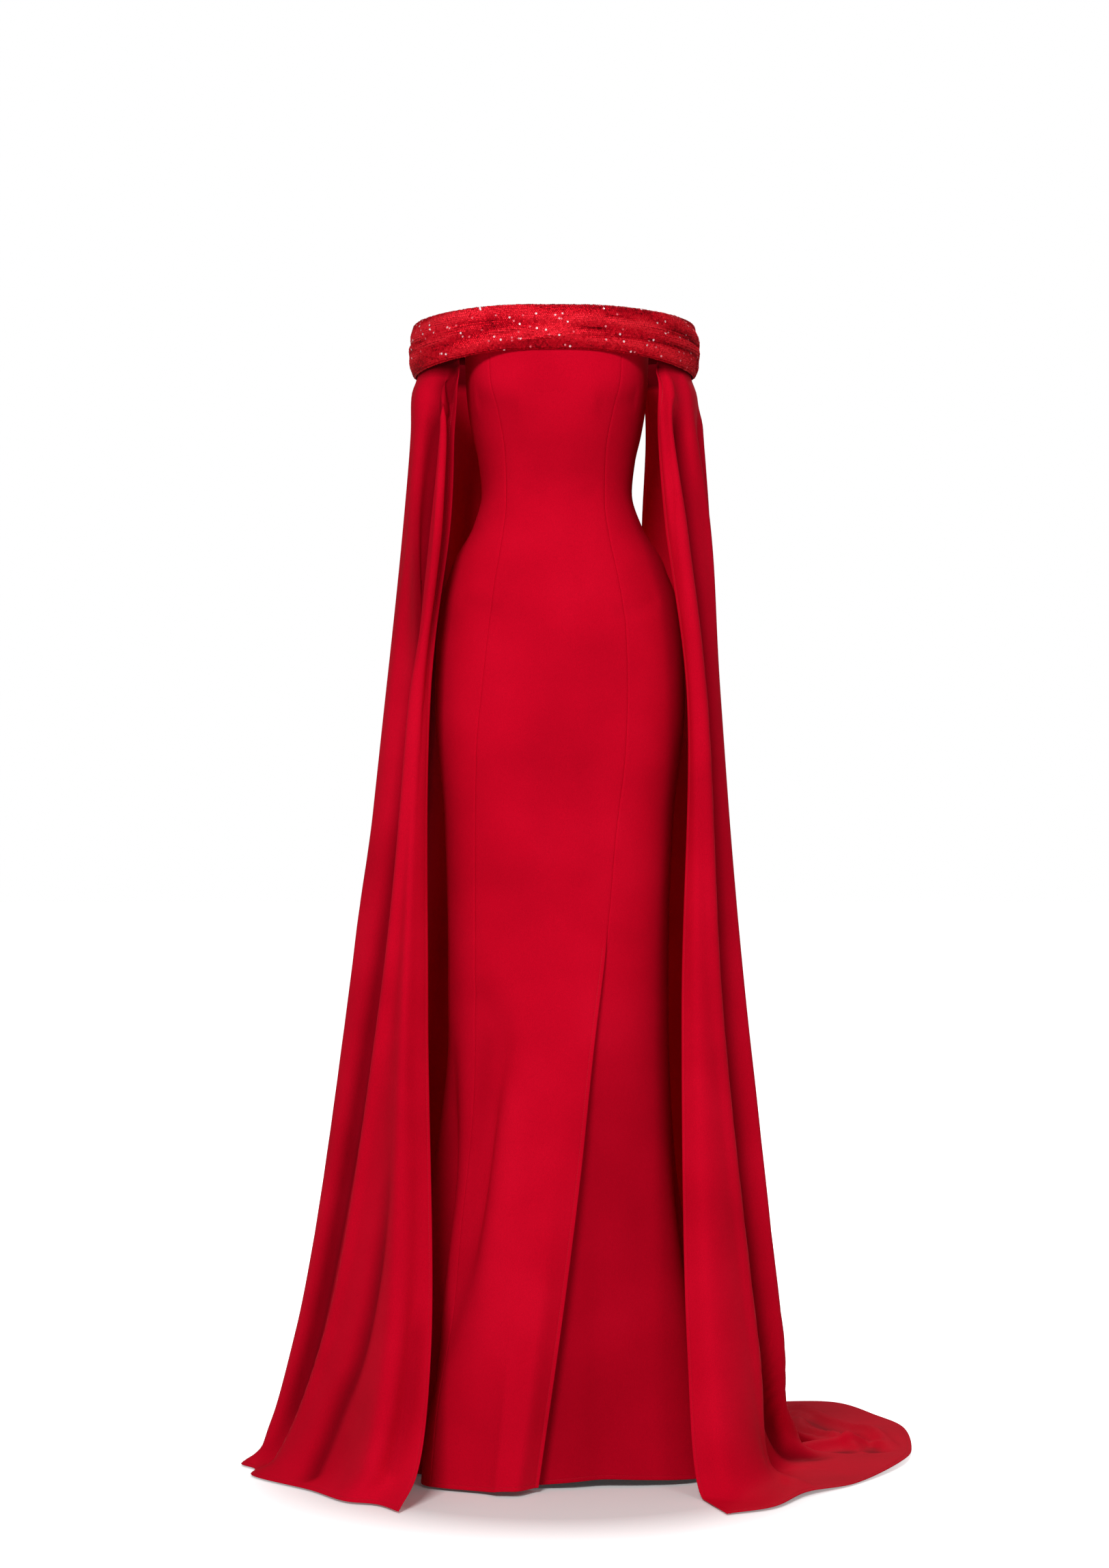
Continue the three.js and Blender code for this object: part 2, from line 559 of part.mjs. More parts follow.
// The slider is made round the pin's middle: X along the pin, Y out of the back.
function zipSlider() {
  const { wide, tall, thick, ear, earTall, pin, pinOff, pinUp } = SLIDER;
  const body = new THREE.BoxGeometry(wide, thick, tall).translate(0, -pinOff - thick / 2, -pinUp);
  let solid = asSolid(body);
  for (const side of [-1, 1]) {
    const lug = new THREE.BoxGeometry(ear, pinOff + 2 * pin + 0.2, earTall);
    lug.translate((side * (wide - ear)) / 2, -(pinOff - 2 * pin + 0.2) / 2, 0);
    solid = solid.add(asSolid(lug));
  }
  const bar = new THREE.CylinderGeometry(pin, pin, wide - ear, ROUND).rotateZ(Math.PI / 2);
  return asGeometry(solid.add(asSolid(bar)));
}

// The tab hangs from the pin: an eye round it and a flat tongue, extruded along X.
function pullTab() {
  const { wide, long, thick, eye, bore } = TAB;
  const half = thick / 2;
  const neck = Math.sqrt(eye * eye - half * half);
  const profile = new THREE.Shape();
  profile.moveTo(half, -neck);
  profile.absarc(0, 0, eye, Math.atan2(-neck, half), Math.atan2(-neck, -half) + 2 * Math.PI, false);
  profile.lineTo(-half, -long + half);
  profile.absarc(0, -long + half, half, Math.PI, 2 * Math.PI, false);
  profile.closePath();
  const hole = new THREE.Path();
  hole.absarc(0, 0, bore, 0, 2 * Math.PI, true);
  profile.holes.push(hole);
  const geometry = new THREE.ExtrudeGeometry(profile, { depth: wide, bevelEnabled: false, curveSegments: 12 });
  return geometry.translate(0, 0, -wide / 2).rotateX(Math.PI / 2).rotateZ(Math.PI / 2);
}

// Materials
const crepe = new THREE.MeshStandardMaterial({ color: 0xc20a22, roughness: 0.72, metalness: 0 });
const sequinned = new THREE.MeshStandardMaterial({ color: 0xa80a1c, roughness: 0.35, metalness: 0.2 });
const tapeCloth = new THREE.MeshStandardMaterial({ color: 0x9a0a1c, roughness: 0.8, metalness: 0 });
const enamelledZinc = new THREE.MeshStandardMaterial({ color: 0xa00c1e, roughness: 0.4, metalness: 0.4 });

const gown = new THREE.Group();
const worn = new THREE.Group();
worn.position.z = -MOUNT_HEIGHT;
gown.add(worn);

function addPiece(name, geometry, material) {
  const mesh = new THREE.Mesh(geometry, material);
  mesh.name = name;
  worn.add(mesh);
  return mesh;
}

// The pieces
addPiece("centre_front_panel", gownPanel(COLUMNS.centreFront, seams.right, seams.left, frontLift), crepe);
addPiece("side_front_panel_right", gownPanel(COLUMNS.sideFrontRight, seams.rightSide, seams.right), crepe);
addPiece("side_front_panel_left", gownPanel(COLUMNS.sideFrontLeft, seams.underlap, seams.leftSide), crepe);
addPiece("side_back_panel_left", gownPanel(COLUMNS.sideBack, seams.leftSide, seams.leftBack), crepe);
addPiece("centre_back_panel_left", gownPanel(COLUMNS.centreBack, seams.leftBack, seams.centreBackLeft), crepe);
addPiece("centre_back_panel_right", gownPanel(COLUMNS.centreBack, seams.centreBackRight, seams.rightBack), crepe);
addPiece("side_back_panel_right", gownPanel(COLUMNS.sideBack, seams.rightBack, seams.rightSide), crepe);
addPiece("band_front", bandPiece(-90, 90), sequinned);
addPiece("band_back", bandPiece(90, 270), sequinned);
addPiece("cape_sleeve_left", sleeve(LEFT_SLEEVE), crepe);
addPiece("cape_sleeve_right", sleeve(RIGHT_SLEEVE), crepe);
addPiece("zip_tape", zipTape(), tapeCloth);
const pinPlace = new THREE.Vector3(0, sliderFace() + SLIDER.pinOff, ZIP.sliderZ);
addPiece("zip_slider", zipSlider(), enamelledZinc).position.copy(pinPlace);
addPiece("zip_pull_tab", pullTab(), enamelledZinc).position.copy(pinPlace);

export default gown;
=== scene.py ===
# %% [markdown]
# # An off-shoulder evening gown in Blender
#
# A maker cuts this gown from red crepe: seven long panels, joined in princess seams, make a strapless
# gown with a slit, and two more panels hang from the shoulders as open cape sleeves. A draped band of
# sequinned cloth goes round the shoulders. This lesson dresses the plain CAD solids of those pieces.
# Every piece is a thin sheet that lies on its solid's own middle surface, so nothing has to be fitted.

# %% Open the frame
import math

import bmesh
import bpy
import numpy as np
from mathutils import Matrix, Vector


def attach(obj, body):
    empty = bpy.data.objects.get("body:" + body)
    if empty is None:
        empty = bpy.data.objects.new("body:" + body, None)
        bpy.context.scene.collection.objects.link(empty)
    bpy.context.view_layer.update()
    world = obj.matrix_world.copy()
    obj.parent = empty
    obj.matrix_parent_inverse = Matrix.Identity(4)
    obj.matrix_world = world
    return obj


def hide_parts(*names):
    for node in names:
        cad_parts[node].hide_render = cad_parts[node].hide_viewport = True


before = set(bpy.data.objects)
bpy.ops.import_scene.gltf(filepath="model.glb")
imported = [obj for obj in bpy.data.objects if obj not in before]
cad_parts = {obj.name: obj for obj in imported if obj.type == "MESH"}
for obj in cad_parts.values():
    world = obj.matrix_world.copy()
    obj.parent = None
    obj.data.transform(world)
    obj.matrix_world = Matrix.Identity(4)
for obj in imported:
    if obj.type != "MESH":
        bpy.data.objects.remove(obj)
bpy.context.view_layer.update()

# %% [markdown]
# ## The camera
#
# A long lens from far away keeps a tall garment's lines upright. The camera is level and stands in
# front of the gown, a little above half its height. The lens is worked out from the height that the
# picture takes in at the gown, so the two can't disagree.

# %% Place the camera
MM = 0.001
MOUNT_HEIGHT = 1430
CAMERA_PLACE = Vector((-0.003, -4.2, -0.543))
SEEN_HEIGHT = 2.0319
SENSOR = 36


def new_object(name, data):
    made = bpy.data.objects.new(name, data)
    bpy.context.scene.collection.objects.link(made)
    return made


camera = new_object("camera", bpy.data.cameras.new("camera"))
camera.location = CAMERA_PLACE
camera.rotation_euler = (math.radians(90), 0, 0)
camera.data.sensor_width = SENSOR
camera.data.lens = SENSOR * -CAMERA_PLACE.y / SEEN_HEIGHT
bpy.context.scene.camera = camera
print("lens", round(camera.data.lens, 2), "mm")

# %% [markdown]
# ## The gown's sizes
#
# The CAD model was drawn in millimetres, with heights above the floor, and this file keeps those
# numbers. Each table has a row for a height, and a smooth curve goes through each of its columns. The
# sections say how wide and deep the gown is, and the seams say where one panel ends and the next
# starts. Numbers become metres only when a point is placed.


# %% Tables of the gown
def table(names, *rows):
    return {name: np.array(values, float) for name, values in zip(names.split(), zip(*rows))}


SECTIONS = table(
    "z breadth front back square sway",
    (1450, 118.5, 117, 92, 2.6, 0),
    (1408, 117.3, 116.6, 96, 2.7, 0),
    (1373, 114.6, 115, 96, 2.6, 0),
    (1338, 108.8, 107, 93, 2.4, 0),
    (1303, 100.9, 94, 88, 2.3, 0),
    (1263, 96.9, 84, 83, 2.2, 0),
    (1220, 108.8, 87, 92, 2.2, 1),
    (1170, 137.2, 93, 108, 2.2, 2),
    (1111, 154.9, 99, 121, 2.2, 3),
    (1036, 160.6, 101, 127, 2.2, 4),
    (989, 161.5, 101, 125, 2.2, 4),
    (841, 147.8, 103, 118, 2.2, 3),
    (664, 142.5, 101, 114, 2.1, 2),
    (575, 142.5, 101, 117, 2.1, 2),
    (400, 156, 106, 150, 2.0, 2),
    (200, 191, 114, 202, 2.0, 1),
    (3, 235, 125, 252, 2.0, 0),
)
FRONT_SEAMS = table(
    "z right left",
    (1450, -87, 83),
    (1376, -76, 72.6),
    (1303, -66, 62),
    (1249, -64.6, 61),
    (1200, -70, 67),
    (1145, -79, 78.8),
    (1080, -87.6, 88),
    (1006, -95.6, 90),
    (932, -102.5, 87.6),
    (820, -104.3, 75),
    (709, -104.4, 65.5),
    (575, -105, 48),
    (400, -110, 28),
    (200, -122, 5),
    (3, -133, -22),
)
BACK_SEAMS = table(
    "z out",
    (1450, 80),
    (1263, 56),
    (1111, 80),
    (989, 85),
    (752, 78),
    (575, 76),
    (3, 122),
)
SLIT = table(
    "z lift underlap",
    (700, 0, 0),
    (668, 4.4, 0),
    (646, 6.5, 24),
    (540, 13, 34),
    (400, 24, 46),
    (200, 40, 62),
    (3, 50, 78),
)
TOP_FRONT, TOP_BACK, HEM, SLIT_HEM_RISE = 1450, 1438, 3, 7
SIDE_SEAM_TURN = math.radians(94)
SLIT_TOP, UNDERLAP_TOP, LIFT_FULL_AT, EDGE_RETURN, EDGE_RETURN_FROM = 700, 668, 0.5, 0.56, 0.74
CUPS = {"turn": 40, "spread": 19, "z": 1392, "tall": 36, "out": 8}

# The skirt's folds: the turn from the centre front where each starts and where it meets the hem, in
# degrees, how broad it is, how far it stands out, and the heights where it starts and has faded again.
SKIRT_FOLDS = [
    # top, hem, broad, out, start, end
    (-54, -53, 11, 27, 500, -200),  # knee fold
    (-32, -66, 8, -13, 640, 60),  # slanting hollow
    (-22, -47, 9, 9, 620, -200),  # slanting fold
    (-80, -73, 9, -36, 620, -200),  # knee hollow
    (-95, -95, 10, 15, 560, -200),  # right side fold
    (-113, -112, 10, -24, 560, -200),  # right back hollow
    (-133, -131, 10, 19, 590, -200),  # right back fold
    (-153, -152, 9, -24, 600, -200),  # right train hollow
    (-171, -171, 9, 18, 610, -200),  # right train fold
    (172, 171, 8, -20, 600, -200),  # train hollow
    (155, 154, 9, 20, 600, -200),  # left train fold
    (137, 136, 9, -25, 580, -200),  # left back hollow
    (118, 118, 10, 17, 570, -200),  # left back fold
    (86, 86, 12, -17, 560, -200),  # left side hollow
    (66, 61, 13, 9, 620, -200),  # left front fold
    (30, 27, 12, -8, 560, -200),  # slit hollow
]
FOLD_FULL_AT, FOLD_FADE = 0.62, 150
print(len(SECTIONS["z"]), "sections and", len(SKIRT_FOLDS), "skirt folds")


# %% Smooth curves through a table's columns
def ease(share):
    s = np.clip(share, 0, 1)
    return s * s * (3 - 2 * s)


def mix(a, b, share):
    return a + (b - a) * share


def bump(distance, spread):
    return np.exp(-((distance / spread) ** 2))


def turn_between(a, b):
    return np.mod(a - b + np.pi, 2 * np.pi) - np.pi


def column(rows, name):
    """A curve through a column, with no overshoot between its rows."""
    order = np.argsort(rows["z"])
    z, value = rows["z"][order], rows[name][order]
    slopes = np.diff(value) / np.diff(z)
    before, after = slopes[:-1], slopes[1:]
    same_way = before * after > 0
    inner = np.where(same_way, 2 * before * after / np.where(same_way, before + after, 1), 0)
    leans = np.concatenate([slopes[:1], inner, slopes[-1:]])

    def curve(at):
        at = np.clip(np.asarray(at, float), z[0], z[-1])
        i = np.clip(np.searchsorted(z, at, "right") - 1, 0, len(z) - 2)
        step = z[i + 1] - z[i]
        t = (at - z[i]) / step
        rise = 3 * t * t - 2 * t**3
        bend = leans[i] * step * t * (1 - t) ** 2 - leans[i + 1] * step * t * t * (1 - t)
        return value[i] * (1 - rise) + value[i + 1] * rise + bend

    return curve


breadth_at, front_at, back_at = (column(SECTIONS, name) for name in ("breadth", "front", "back"))
square_at, sway_at = column(SECTIONS, "square"), column(SECTIONS, "sway")
right_seam_at, left_seam_at = column(FRONT_SEAMS, "right"), column(FRONT_SEAMS, "left")
back_seam_at = column(BACK_SEAMS, "out")
lift_at, underlap_at = column(SLIT, "lift"), column(SLIT, "underlap")
print("waist", round(2 * float(breadth_at(1263))), "mm wide, hips", round(2 * float(breadth_at(989))), "mm")


# %% [markdown]
# ## The gown's surface
#
# Round each height the gown is a squared ellipse. A turn of 0 looks at the front and 90 degrees at the
# garment's left side. The skirt's folds and the fullness at the cups are soft bumps on that ring. The
# panels differ only in the turns where they start and end, so their shared seams match to the point.

# %% The gown's surface
TURN_STEP, HEIGHT_STEP = 0.002, 0.5
SLIT_HEM_TURN, SLIT_HEM_SPREAD = math.radians(28), math.radians(38)


def oval_radius(turn, breadth, depth, square):
    across, along = np.abs(np.sin(turn)) / breadth, np.abs(np.cos(turn)) / depth
    return (across**square + along**square) ** (-1 / square)


def fold_out(turn, z):
    total = 0
    for top, hem, broad, out, start, end in SKIRT_FOLDS:
        down = np.clip((start - z) / start, 0, 1)
        middle = np.radians(mix(top, hem, down))
        fullness = ease(down / FOLD_FULL_AT) * ease((z - end) / FOLD_FADE)
        total = total + out * fullness * bump(turn_between(turn, middle), math.radians(broad))
    return total


def cup_out(turn, z):
    off = np.abs(turn_between(turn, 0)) - math.radians(CUPS["turn"])
    sideways = bump(off, math.radians(CUPS["spread"]))
    return CUPS["out"] * sideways * bump(z - CUPS["z"], CUPS["tall"])


def gown_point(turn, z):
    depth = np.where(np.cos(turn) > 0, front_at(z), back_at(z))
    radius = oval_radius(turn, breadth_at(z), depth, square_at(z)) + fold_out(turn, z) + cup_out(turn, z)
    return np.stack([sway_at(z) + radius * np.sin(turn), -radius * np.cos(turn), z + 0 * turn], -1)


def unit(vectors):
    return vectors / np.maximum(np.linalg.norm(vectors, axis=-1, keepdims=True), 1e-12)


def way_out(surface, u, v, du, dv):
    """The way out of a surface, square to its two directions: across by du and down by dv."""
    across = surface(u + du, v) - surface(u - du, v)
    down = surface(u, v + dv) - surface(u, v - dv)
    return unit(np.cross(down, across))


def gown_out(turn, z):
    return way_out(gown_point, turn, z, TURN_STEP, -HEIGHT_STEP)


def turn_at(x, z, on_back=False):
    depth, square = (back_at(z) if on_back else front_at(z)), square_at(z)
    share = np.clip(np.abs(x - sway_at(z)) / breadth_at(z), 0, 0.999)
    y = depth * (1 - share**square) ** (1 / square)
    return np.arctan2(x - sway_at(z), -y if on_back else y)


def front_lift(share, z):
    near_edge = ease((share - EDGE_RETURN_FROM) / (1 - EDGE_RETURN_FROM))
    back = EDGE_RETURN * ease((SLIT_TOP - z) / SLIT_TOP) * near_edge
    return np.where(z < SLIT_TOP, lift_at(z) * ease(share / LIFT_FULL_AT) * (1 - back), 0)


SEAMS = {
    "right": lambda z: turn_at(right_seam_at(z), z),
    "left": lambda z: turn_at(left_seam_at(z), z),
    "underlap": lambda z: turn_at(left_seam_at(z) - np.where(z < UNDERLAP_TOP, underlap_at(z), 0), z),
    "left side": lambda z: SIDE_SEAM_TURN + 0 * z,
    "right side": lambda z: -SIDE_SEAM_TURN + 0 * z,
    "left back": lambda z: turn_at(back_seam_at(z), z, True),
    "right back": lambda z: turn_at(-back_seam_at(z), z, True),
    "centre back left": lambda z: np.pi + 0 * z,
    "centre back right": lambda z: -np.pi + 0 * z,
}


def panel_surface(start, end, lift=None):
    """A panel between two seams, as a function of the share across it and the share down it."""

    def surface(across, down):
        middle = mix(TOP_FRONT, HEM, down)
        turn = mix(SEAMS[start](middle), SEAMS[end](middle), across)
        top = mix(TOP_BACK, TOP_FRONT, (1 + np.cos(turn)) / 2)
        hem = HEM + SLIT_HEM_RISE * bump(turn_between(turn, SLIT_HEM_TURN), SLIT_HEM_SPREAD)
        z = mix(top, hem, down)
        points = gown_point(turn, z)
        if lift:
            points = points + gown_out(turn, z) * lift(across, z)[..., None]
        return points

    return surface


print("hem's front is", round(float(gown_point(np.array(0.0), np.array(float(HEM)))[1])), "mm from the axis")

# %% [markdown]
# ## The sleeves' surface
#
# A cape sleeve hangs in folds, and each fold is a line down the cloth: a ridge or a hollow. A row of
# the table gives a line's turn on the band and where it passes the bust, waist, hip, knee and shin, the
# floor and the hem. A smooth curve goes down each line, and then another goes across all the lines, so
# a few dozen places make the whole hanging sheet, with its train.

# %% Tables of the sleeves
SLEEVE_TOP, SLEEVE_FLOOR = 1442, 3
BUST, WAIST, HIP, KNEE, SHIN = 1340, 1220, 1000, 600, 180
LIP_HEIGHT, LIP_SHARE, LIP_SPRING = 1392, 0.35, 4
# A row holds a line's turn and its places at the bust, waist, hip, knee, shin, floor and hem. The left
# sleeve's lines are its front edge and face, first ridge and hollow, side ridge and hollow, second
# ridge, rear hollow, rear ridge and rear edge.
LEFT_SLEEVE = [
    (56, (128, -86), (137, -82), (165, -82), (158, -95), (163, -146), (177, -180, 8), (206, -271, 3)),
    (58.5, (136, -93), (147, -92), (173, -96), (178, -110),
      (196, -158), (218, -190, 12), (264, -239, 4)),
    (61.5, (144, -94), (158, -95), (184, -92), (204, -90),
      (247, -106), (266, -124, 24), (312, -164, 6)),
    (67, (151, -62), (166, -58), (186, -58), (207, -49), (249, -50), (270, -54, 6), (376, -102, 3)),
    (74, (178, -32), (197, -12), (212, -4), (242, 8), (289, 20), (312, 40, 30), (452, 20, 8)),
    (86, (181, 0), (189, 14), (202, 30), (227, 46), (270, 68), (296, 88, 6), (474, 130, 3)),
    (98, (186, 27), (196, 42), (201, 60), (235, 86), (286, 114), (312, 134, 24), (474, 228, 8)),
    (108, (165, 52), (170, 62), (180, 84), (204, 118), (244, 158), (266, 180, 6), (448, 340, 3)),
    (118, (150, 84), (156, 98), (162, 118), (192, 166), (234, 216), (256, 240, 20), (396, 420, 6)),
    (129, (118, 102), (113, 114), (113, 138), (138, 186), (172, 246), (190, 272, 6), (300, 440, 3)),
]
# The right sleeve's lines are its front edge, hollow and fold, inner hollow, main ridge, side hollow and
# ridge, rear hollow and ridge, back hollow and ridge, and rear edge.
RIGHT_SLEEVE = [
    (-52, (-128, -83), (-133, -78), (-160, -80), (-163, -94),
      (-157, -160), (-172, -222, 40), (-193, -261, 3)),
    (-57, (-135, -86), (-141, -84), (-167, -91), (-177, -106),
      (-183, -158), (-204, -202, 32), (-222, -221, 3)),
    (-59.5, (-144, -101), (-152, -102), (-174, -98), (-193, -117),
      (-208, -168), (-238, -204, 32), (-259, -207, 3)),
    (-64, (-153, -74), (-162, -76), (-180, -92), (-207, -96),
      (-248, -112), (-284, -126, 28), (-308, -142, 3)),
    (-71, (-173, -61), (-181, -68), (-186, -82), (-223, -77),
      (-292, -60), (-352, -52, 30), (-391, -52, 3)),
    (-80, (-181, -32), (-187, -40), (-190, -50), (-227, -42),
      (-295, -22), (-350, -12, 20), (-390, -14, 3)),
    (-92, (-189, 4), (-199, 4), (-222, 4), (-269, 15), (-337, 32), (-384, 26, 24), (-411, 18, 3)),
    (-104, (-174, 38), (-185, 38), (-204, 40), (-243, 60), (-299, 84), (-338, 92, 16), (-362, 96, 3)),
    (-113, (-168, 72), (-179, 76), (-196, 80), (-240, 110),
      (-300, 150), (-340, 172, 20), (-365, 184, 3)),
    (-122, (-141, 84), (-150, 90), (-165, 104), (-199, 144),
      (-247, 192), (-276, 216, 16), (-296, 232, 3)),
    (-131, (-122, 107), (-130, 117), (-138, 136), (-168, 188),
      (-213, 250), (-240, 284, 18), (-257, 305, 3)),
    (-140, (-91, 108), (-90, 119), (-86, 144), (-100, 194),
      (-127, 258), (-140, 290, 14), (-150, 308, 3)),
]
BAND = {
    "breadth": 180, "front": 119.6, "back": 119, "square": 2.4, "sway": -3.5,
    "top_front": 1491, "top_side": 1479, "top_back": 1489,
    "bottom_front": 1435, "bottom_side": 1412, "bottom_back": 1441, "belly": 3.5,
}
BAND_CLOTH, LAP_GAP, CLOTH = 2.4, 0.9, 2
print(len(LEFT_SLEEVE), "lines down the left sleeve and", len(RIGHT_SLEEVE), "down the right one")


# %% Smooth curves through points
def smooth_line(points, at):
    """A centripetal Catmull-Rom curve: points is (..., n, 3) and at holds shares from 0 to 1."""
    count = points.shape[-2]
    first = 2 * points[..., :1, :] - points[..., 1:2, :]
    last = 2 * points[..., -1:, :] - points[..., -2:-1, :]
    held = np.concatenate([first, points, last], -2)
    place = np.clip(at, 0, 1) * (count - 1)
    i = np.minimum(place.astype(int), count - 2)
    t = (place - i)[:, None]
    p0, p1, p2, p3 = (held[..., i + k, :] for k in range(4))
    step0, step1, step2 = (
        np.sqrt(np.linalg.norm(b - a, axis=-1, keepdims=True)) for a, b in ((p0, p1), (p1, p2), (p2, p3))
    )
    lean1 = ((p1 - p0) / step0 - (p2 - p0) / (step0 + step1) + (p2 - p1) / step1) * step1
    lean2 = ((p2 - p1) / step1 - (p3 - p1) / (step1 + step2) + (p3 - p2) / step2) * step1
    bent = (2 * p1 - 2 * p2 + lean1 + lean2) * t**3 + (3 * p2 - 3 * p1 - 2 * lean1 - lean2) * t**2
    return bent + lean1 * t + p1


def sleeve_lines(rows):
    inset = BAND_CLOTH / 2 + LAP_GAP + CLOTH / 2
    lines = []
    for degrees, bust, waist, hip, knee, shin, floor, hem in sorted(rows, key=lambda row: row[0]):
        turn = math.radians(degrees)
        depth = BAND["front"] if math.cos(turn) > 0 else BAND["back"]
        radius = oval_radius(turn, BAND["breadth"] - inset, depth - inset, BAND["square"])
        way = np.array([math.sin(turn), -math.cos(turn)])
        top = np.array([BAND["sway"], 0]) + radius * way
        lip = mix(top, np.array(bust), LIP_SHARE) + way * LIP_SPRING * math.sin(turn) ** 4
        placed = ((top, SLEEVE_TOP), (top, BAND["bottom_side"]), (lip, LIP_HEIGHT), (bust, BUST))
        placed += ((waist, WAIST), (hip, HIP), (knee, KNEE), (shin, SHIN))
        lines.append([*((*place, height) for place, height in placed), floor, hem])
    return np.array(lines, float)


def sleeve_surface(rows):
    lines = sleeve_lines(rows)

    def surface(across, down):
        down_lines = smooth_line(lines, down[:, 0]).transpose(1, 0, 2)
        points = smooth_line(down_lines, across[0])
        points[..., 2] = np.maximum(points[..., 2], SLEEVE_FLOOR)
        return points

    return surface


# %% [markdown]
# ## From a surface to a sheet of cloth
#
# A sewn edge is never a bare line. At a seam the two panels turn in and make a narrow valley, and a
# free edge is folded over and stitched. Both need close rows of points beside the edge and few
# elsewhere, so each surface is first measured along its rows and columns and then laid out again with
# the spacing that its edges ask for.

# %% Lay out a surface in millimetres
EDGE_STEPS = {
    "seam": (0, 0.8, 1.6, 2.8, 5),
    "hem": (0, 0.9, 2.4, 4, 5, 6, 7.8, 12),
    "plain": (0,),
}
DENSE = 4
SEAM_DEPTH, SEAM_WIDE, LOW_SEAM_SHARE = 0.6, 1.1, 0.45
STITCH_FROM_EDGE, STITCH_DEPTH, STITCH_WIDE = 5, 0.5, 0.9
EDGE_ROLL, EDGE_ROLL_WIDE = 0.35, 1.2


def lengths_along(points):
    return np.concatenate([[0], np.cumsum(np.linalg.norm(np.diff(points, axis=0), axis=1))])


def spaced(length, count, start, end):
    """Places along a length, close at its two ends and even between them."""
    near, far = np.array(EDGE_STEPS[start]), length - np.array(EDGE_STEPS[end])[::-1]
    middle = np.linspace(near[-1], far[0], count - len(near) - len(far) + 2)
    return np.concatenate([near, middle[1:-1], far])


def relaid(grid, count, start, end):
    """Each row of a grid laid out again with count points. The last number of a point is its place."""
    rows = []
    for row in grid:
        along = lengths_along(row[:, :3])
        places = spaced(along[-1], count, start, end)
        channels = [np.interp(places, along, row[:, k]) for k in range(row.shape[1])]
        rows.append(np.stack([*channels, places, along[-1] - places], -1))
    return np.array(rows)


def laid_out(surface, columns, rows, left, right, top, bottom):
    """A surface's points as rows of columns, with each point's shares and distances to the edges."""
    across, down = np.meshgrid(*(np.linspace(0, 1, count * DENSE + 1) for count in (columns, rows)))
    dense = np.concatenate([surface(across, down), across[..., None], down[..., None]], -1)
    longwise = relaid(dense.transpose(1, 0, 2), rows + 1, top, bottom).transpose(1, 0, 2)
    grid = relaid(longwise, columns + 1, left, right)
    names = ("u", "v", "from_top", "to_hem", "from_left", "to_right")
    return {"points": grid[..., :3], **{name: grid[..., 3 + k] for k, name in enumerate(names)}}


def ways_out(points):
    across, down = np.gradient(points, axis=1), np.gradient(points, axis=0)
    return unit(np.cross(down, across))


def edge_relief(distance, kind):
    """How far the cloth lies in, beside a seam or along a stitched edge."""
    if kind == "seam":
        return -SEAM_DEPTH * bump(distance, SEAM_WIDE)
    if kind == "hem":
        stitched = STITCH_DEPTH * bump(distance - STITCH_FROM_EDGE, STITCH_WIDE)
        return -stitched - EDGE_ROLL * bump(distance, EDGE_ROLL_WIDE)
    return 0 * distance


def to_frame(points):
    return (points - np.array([0, 0, MOUNT_HEIGHT])) * MM


print("close rows beside an edge:", {kind: len(steps) for kind, steps in EDGE_STEPS.items()})

# %% Make a sheet from a grid of points
SHEET_THICKNESS = 0.8
triangles_made = {}


def object_from(solid, name):
    """A finished bmesh as an object in the scene."""
    mesh = bpy.data.meshes.new(name)
    solid.to_mesh(mesh)
    solid.free()
    return new_object(name, mesh)


def give_numbers(piece, name, numbers):
    """A number for each point of a piece, which its material reads by that name."""
    attribute = piece.data.attributes.new(name, "FLOAT", "POINT")
    attribute.data.foreach_set("value", numbers.astype(np.float32).ravel())


def sheet_mesh(name, points, hollow=None):
    """A bmesh grid whose corners take a grid of points, in millimetres, as a smooth mesh object. The
    hollow attribute, from 0 to 1, says how much painted shade each point gets: how deep in a fold it
    lies, or how deep in shade."""
    rows, columns = points.shape[0] - 1, points.shape[1] - 1
    cloth = bmesh.new()
    bmesh.ops.create_grid(cloth, x_segments=columns, y_segments=rows, size=0.5)
    for vertex, place in zip(cloth.verts, to_frame(points)[::-1].reshape(-1, 3).tolist()):
        vertex.co = place
    for face in cloth.faces:
        face.smooth = True
    piece = object_from(cloth, name)
    if hollow is not None:
        give_numbers(piece, "hollow", np.clip(hollow, 0, 1)[::-1])
    return piece


def give_thickness(piece):
    wall = piece.modifiers.new("thickness", "SOLIDIFY")
    wall.thickness = SHEET_THICKNESS * MM
    wall.offset = 0


def dress(piece, node, material, body="gown"):
    """The piece takes its material, rides on a body and stands for a CAD node."""
    piece.data.materials.append(material)
    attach(piece, body)
    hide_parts(node)
    evaluated = piece.evaluated_get(bpy.context.evaluated_depsgraph_get())
    triangles_made[piece.name] = sum(len(face.vertices) - 2 for face in evaluated.data.polygons)
    print(piece.name, "stands for", node, "with", triangles_made[piece.name], "triangles")


# %% [markdown]
# ## Materials
#
# Crepe is woven from hard-twisted yarn. Its face is finely pebbled and almost matt, and its twisted
# threads catch a soft sheen at grazing angles. Its colour is even but never flat: the dye and the
# pressing vary a little over a hand's width. The pebbles here are drawn larger than real ones, about
# a millimetre, because finer ones would vanish in a picture of the whole gown. Shade is painted into
# the colour as well: each sheet's hollow attribute darkens it in its folds, and much more where it
# lies in the deep shade inside the band.

# %% Helpers for materials
def linear(hex_colour):
    parts = [int(hex_colour[i : i + 2], 16) / 255 for i in (1, 3, 5)]
    return (*(c / 12.92 if c <= 0.04045 else ((c + 0.055) / 1.055) ** 2.4 for c in parts), 1)


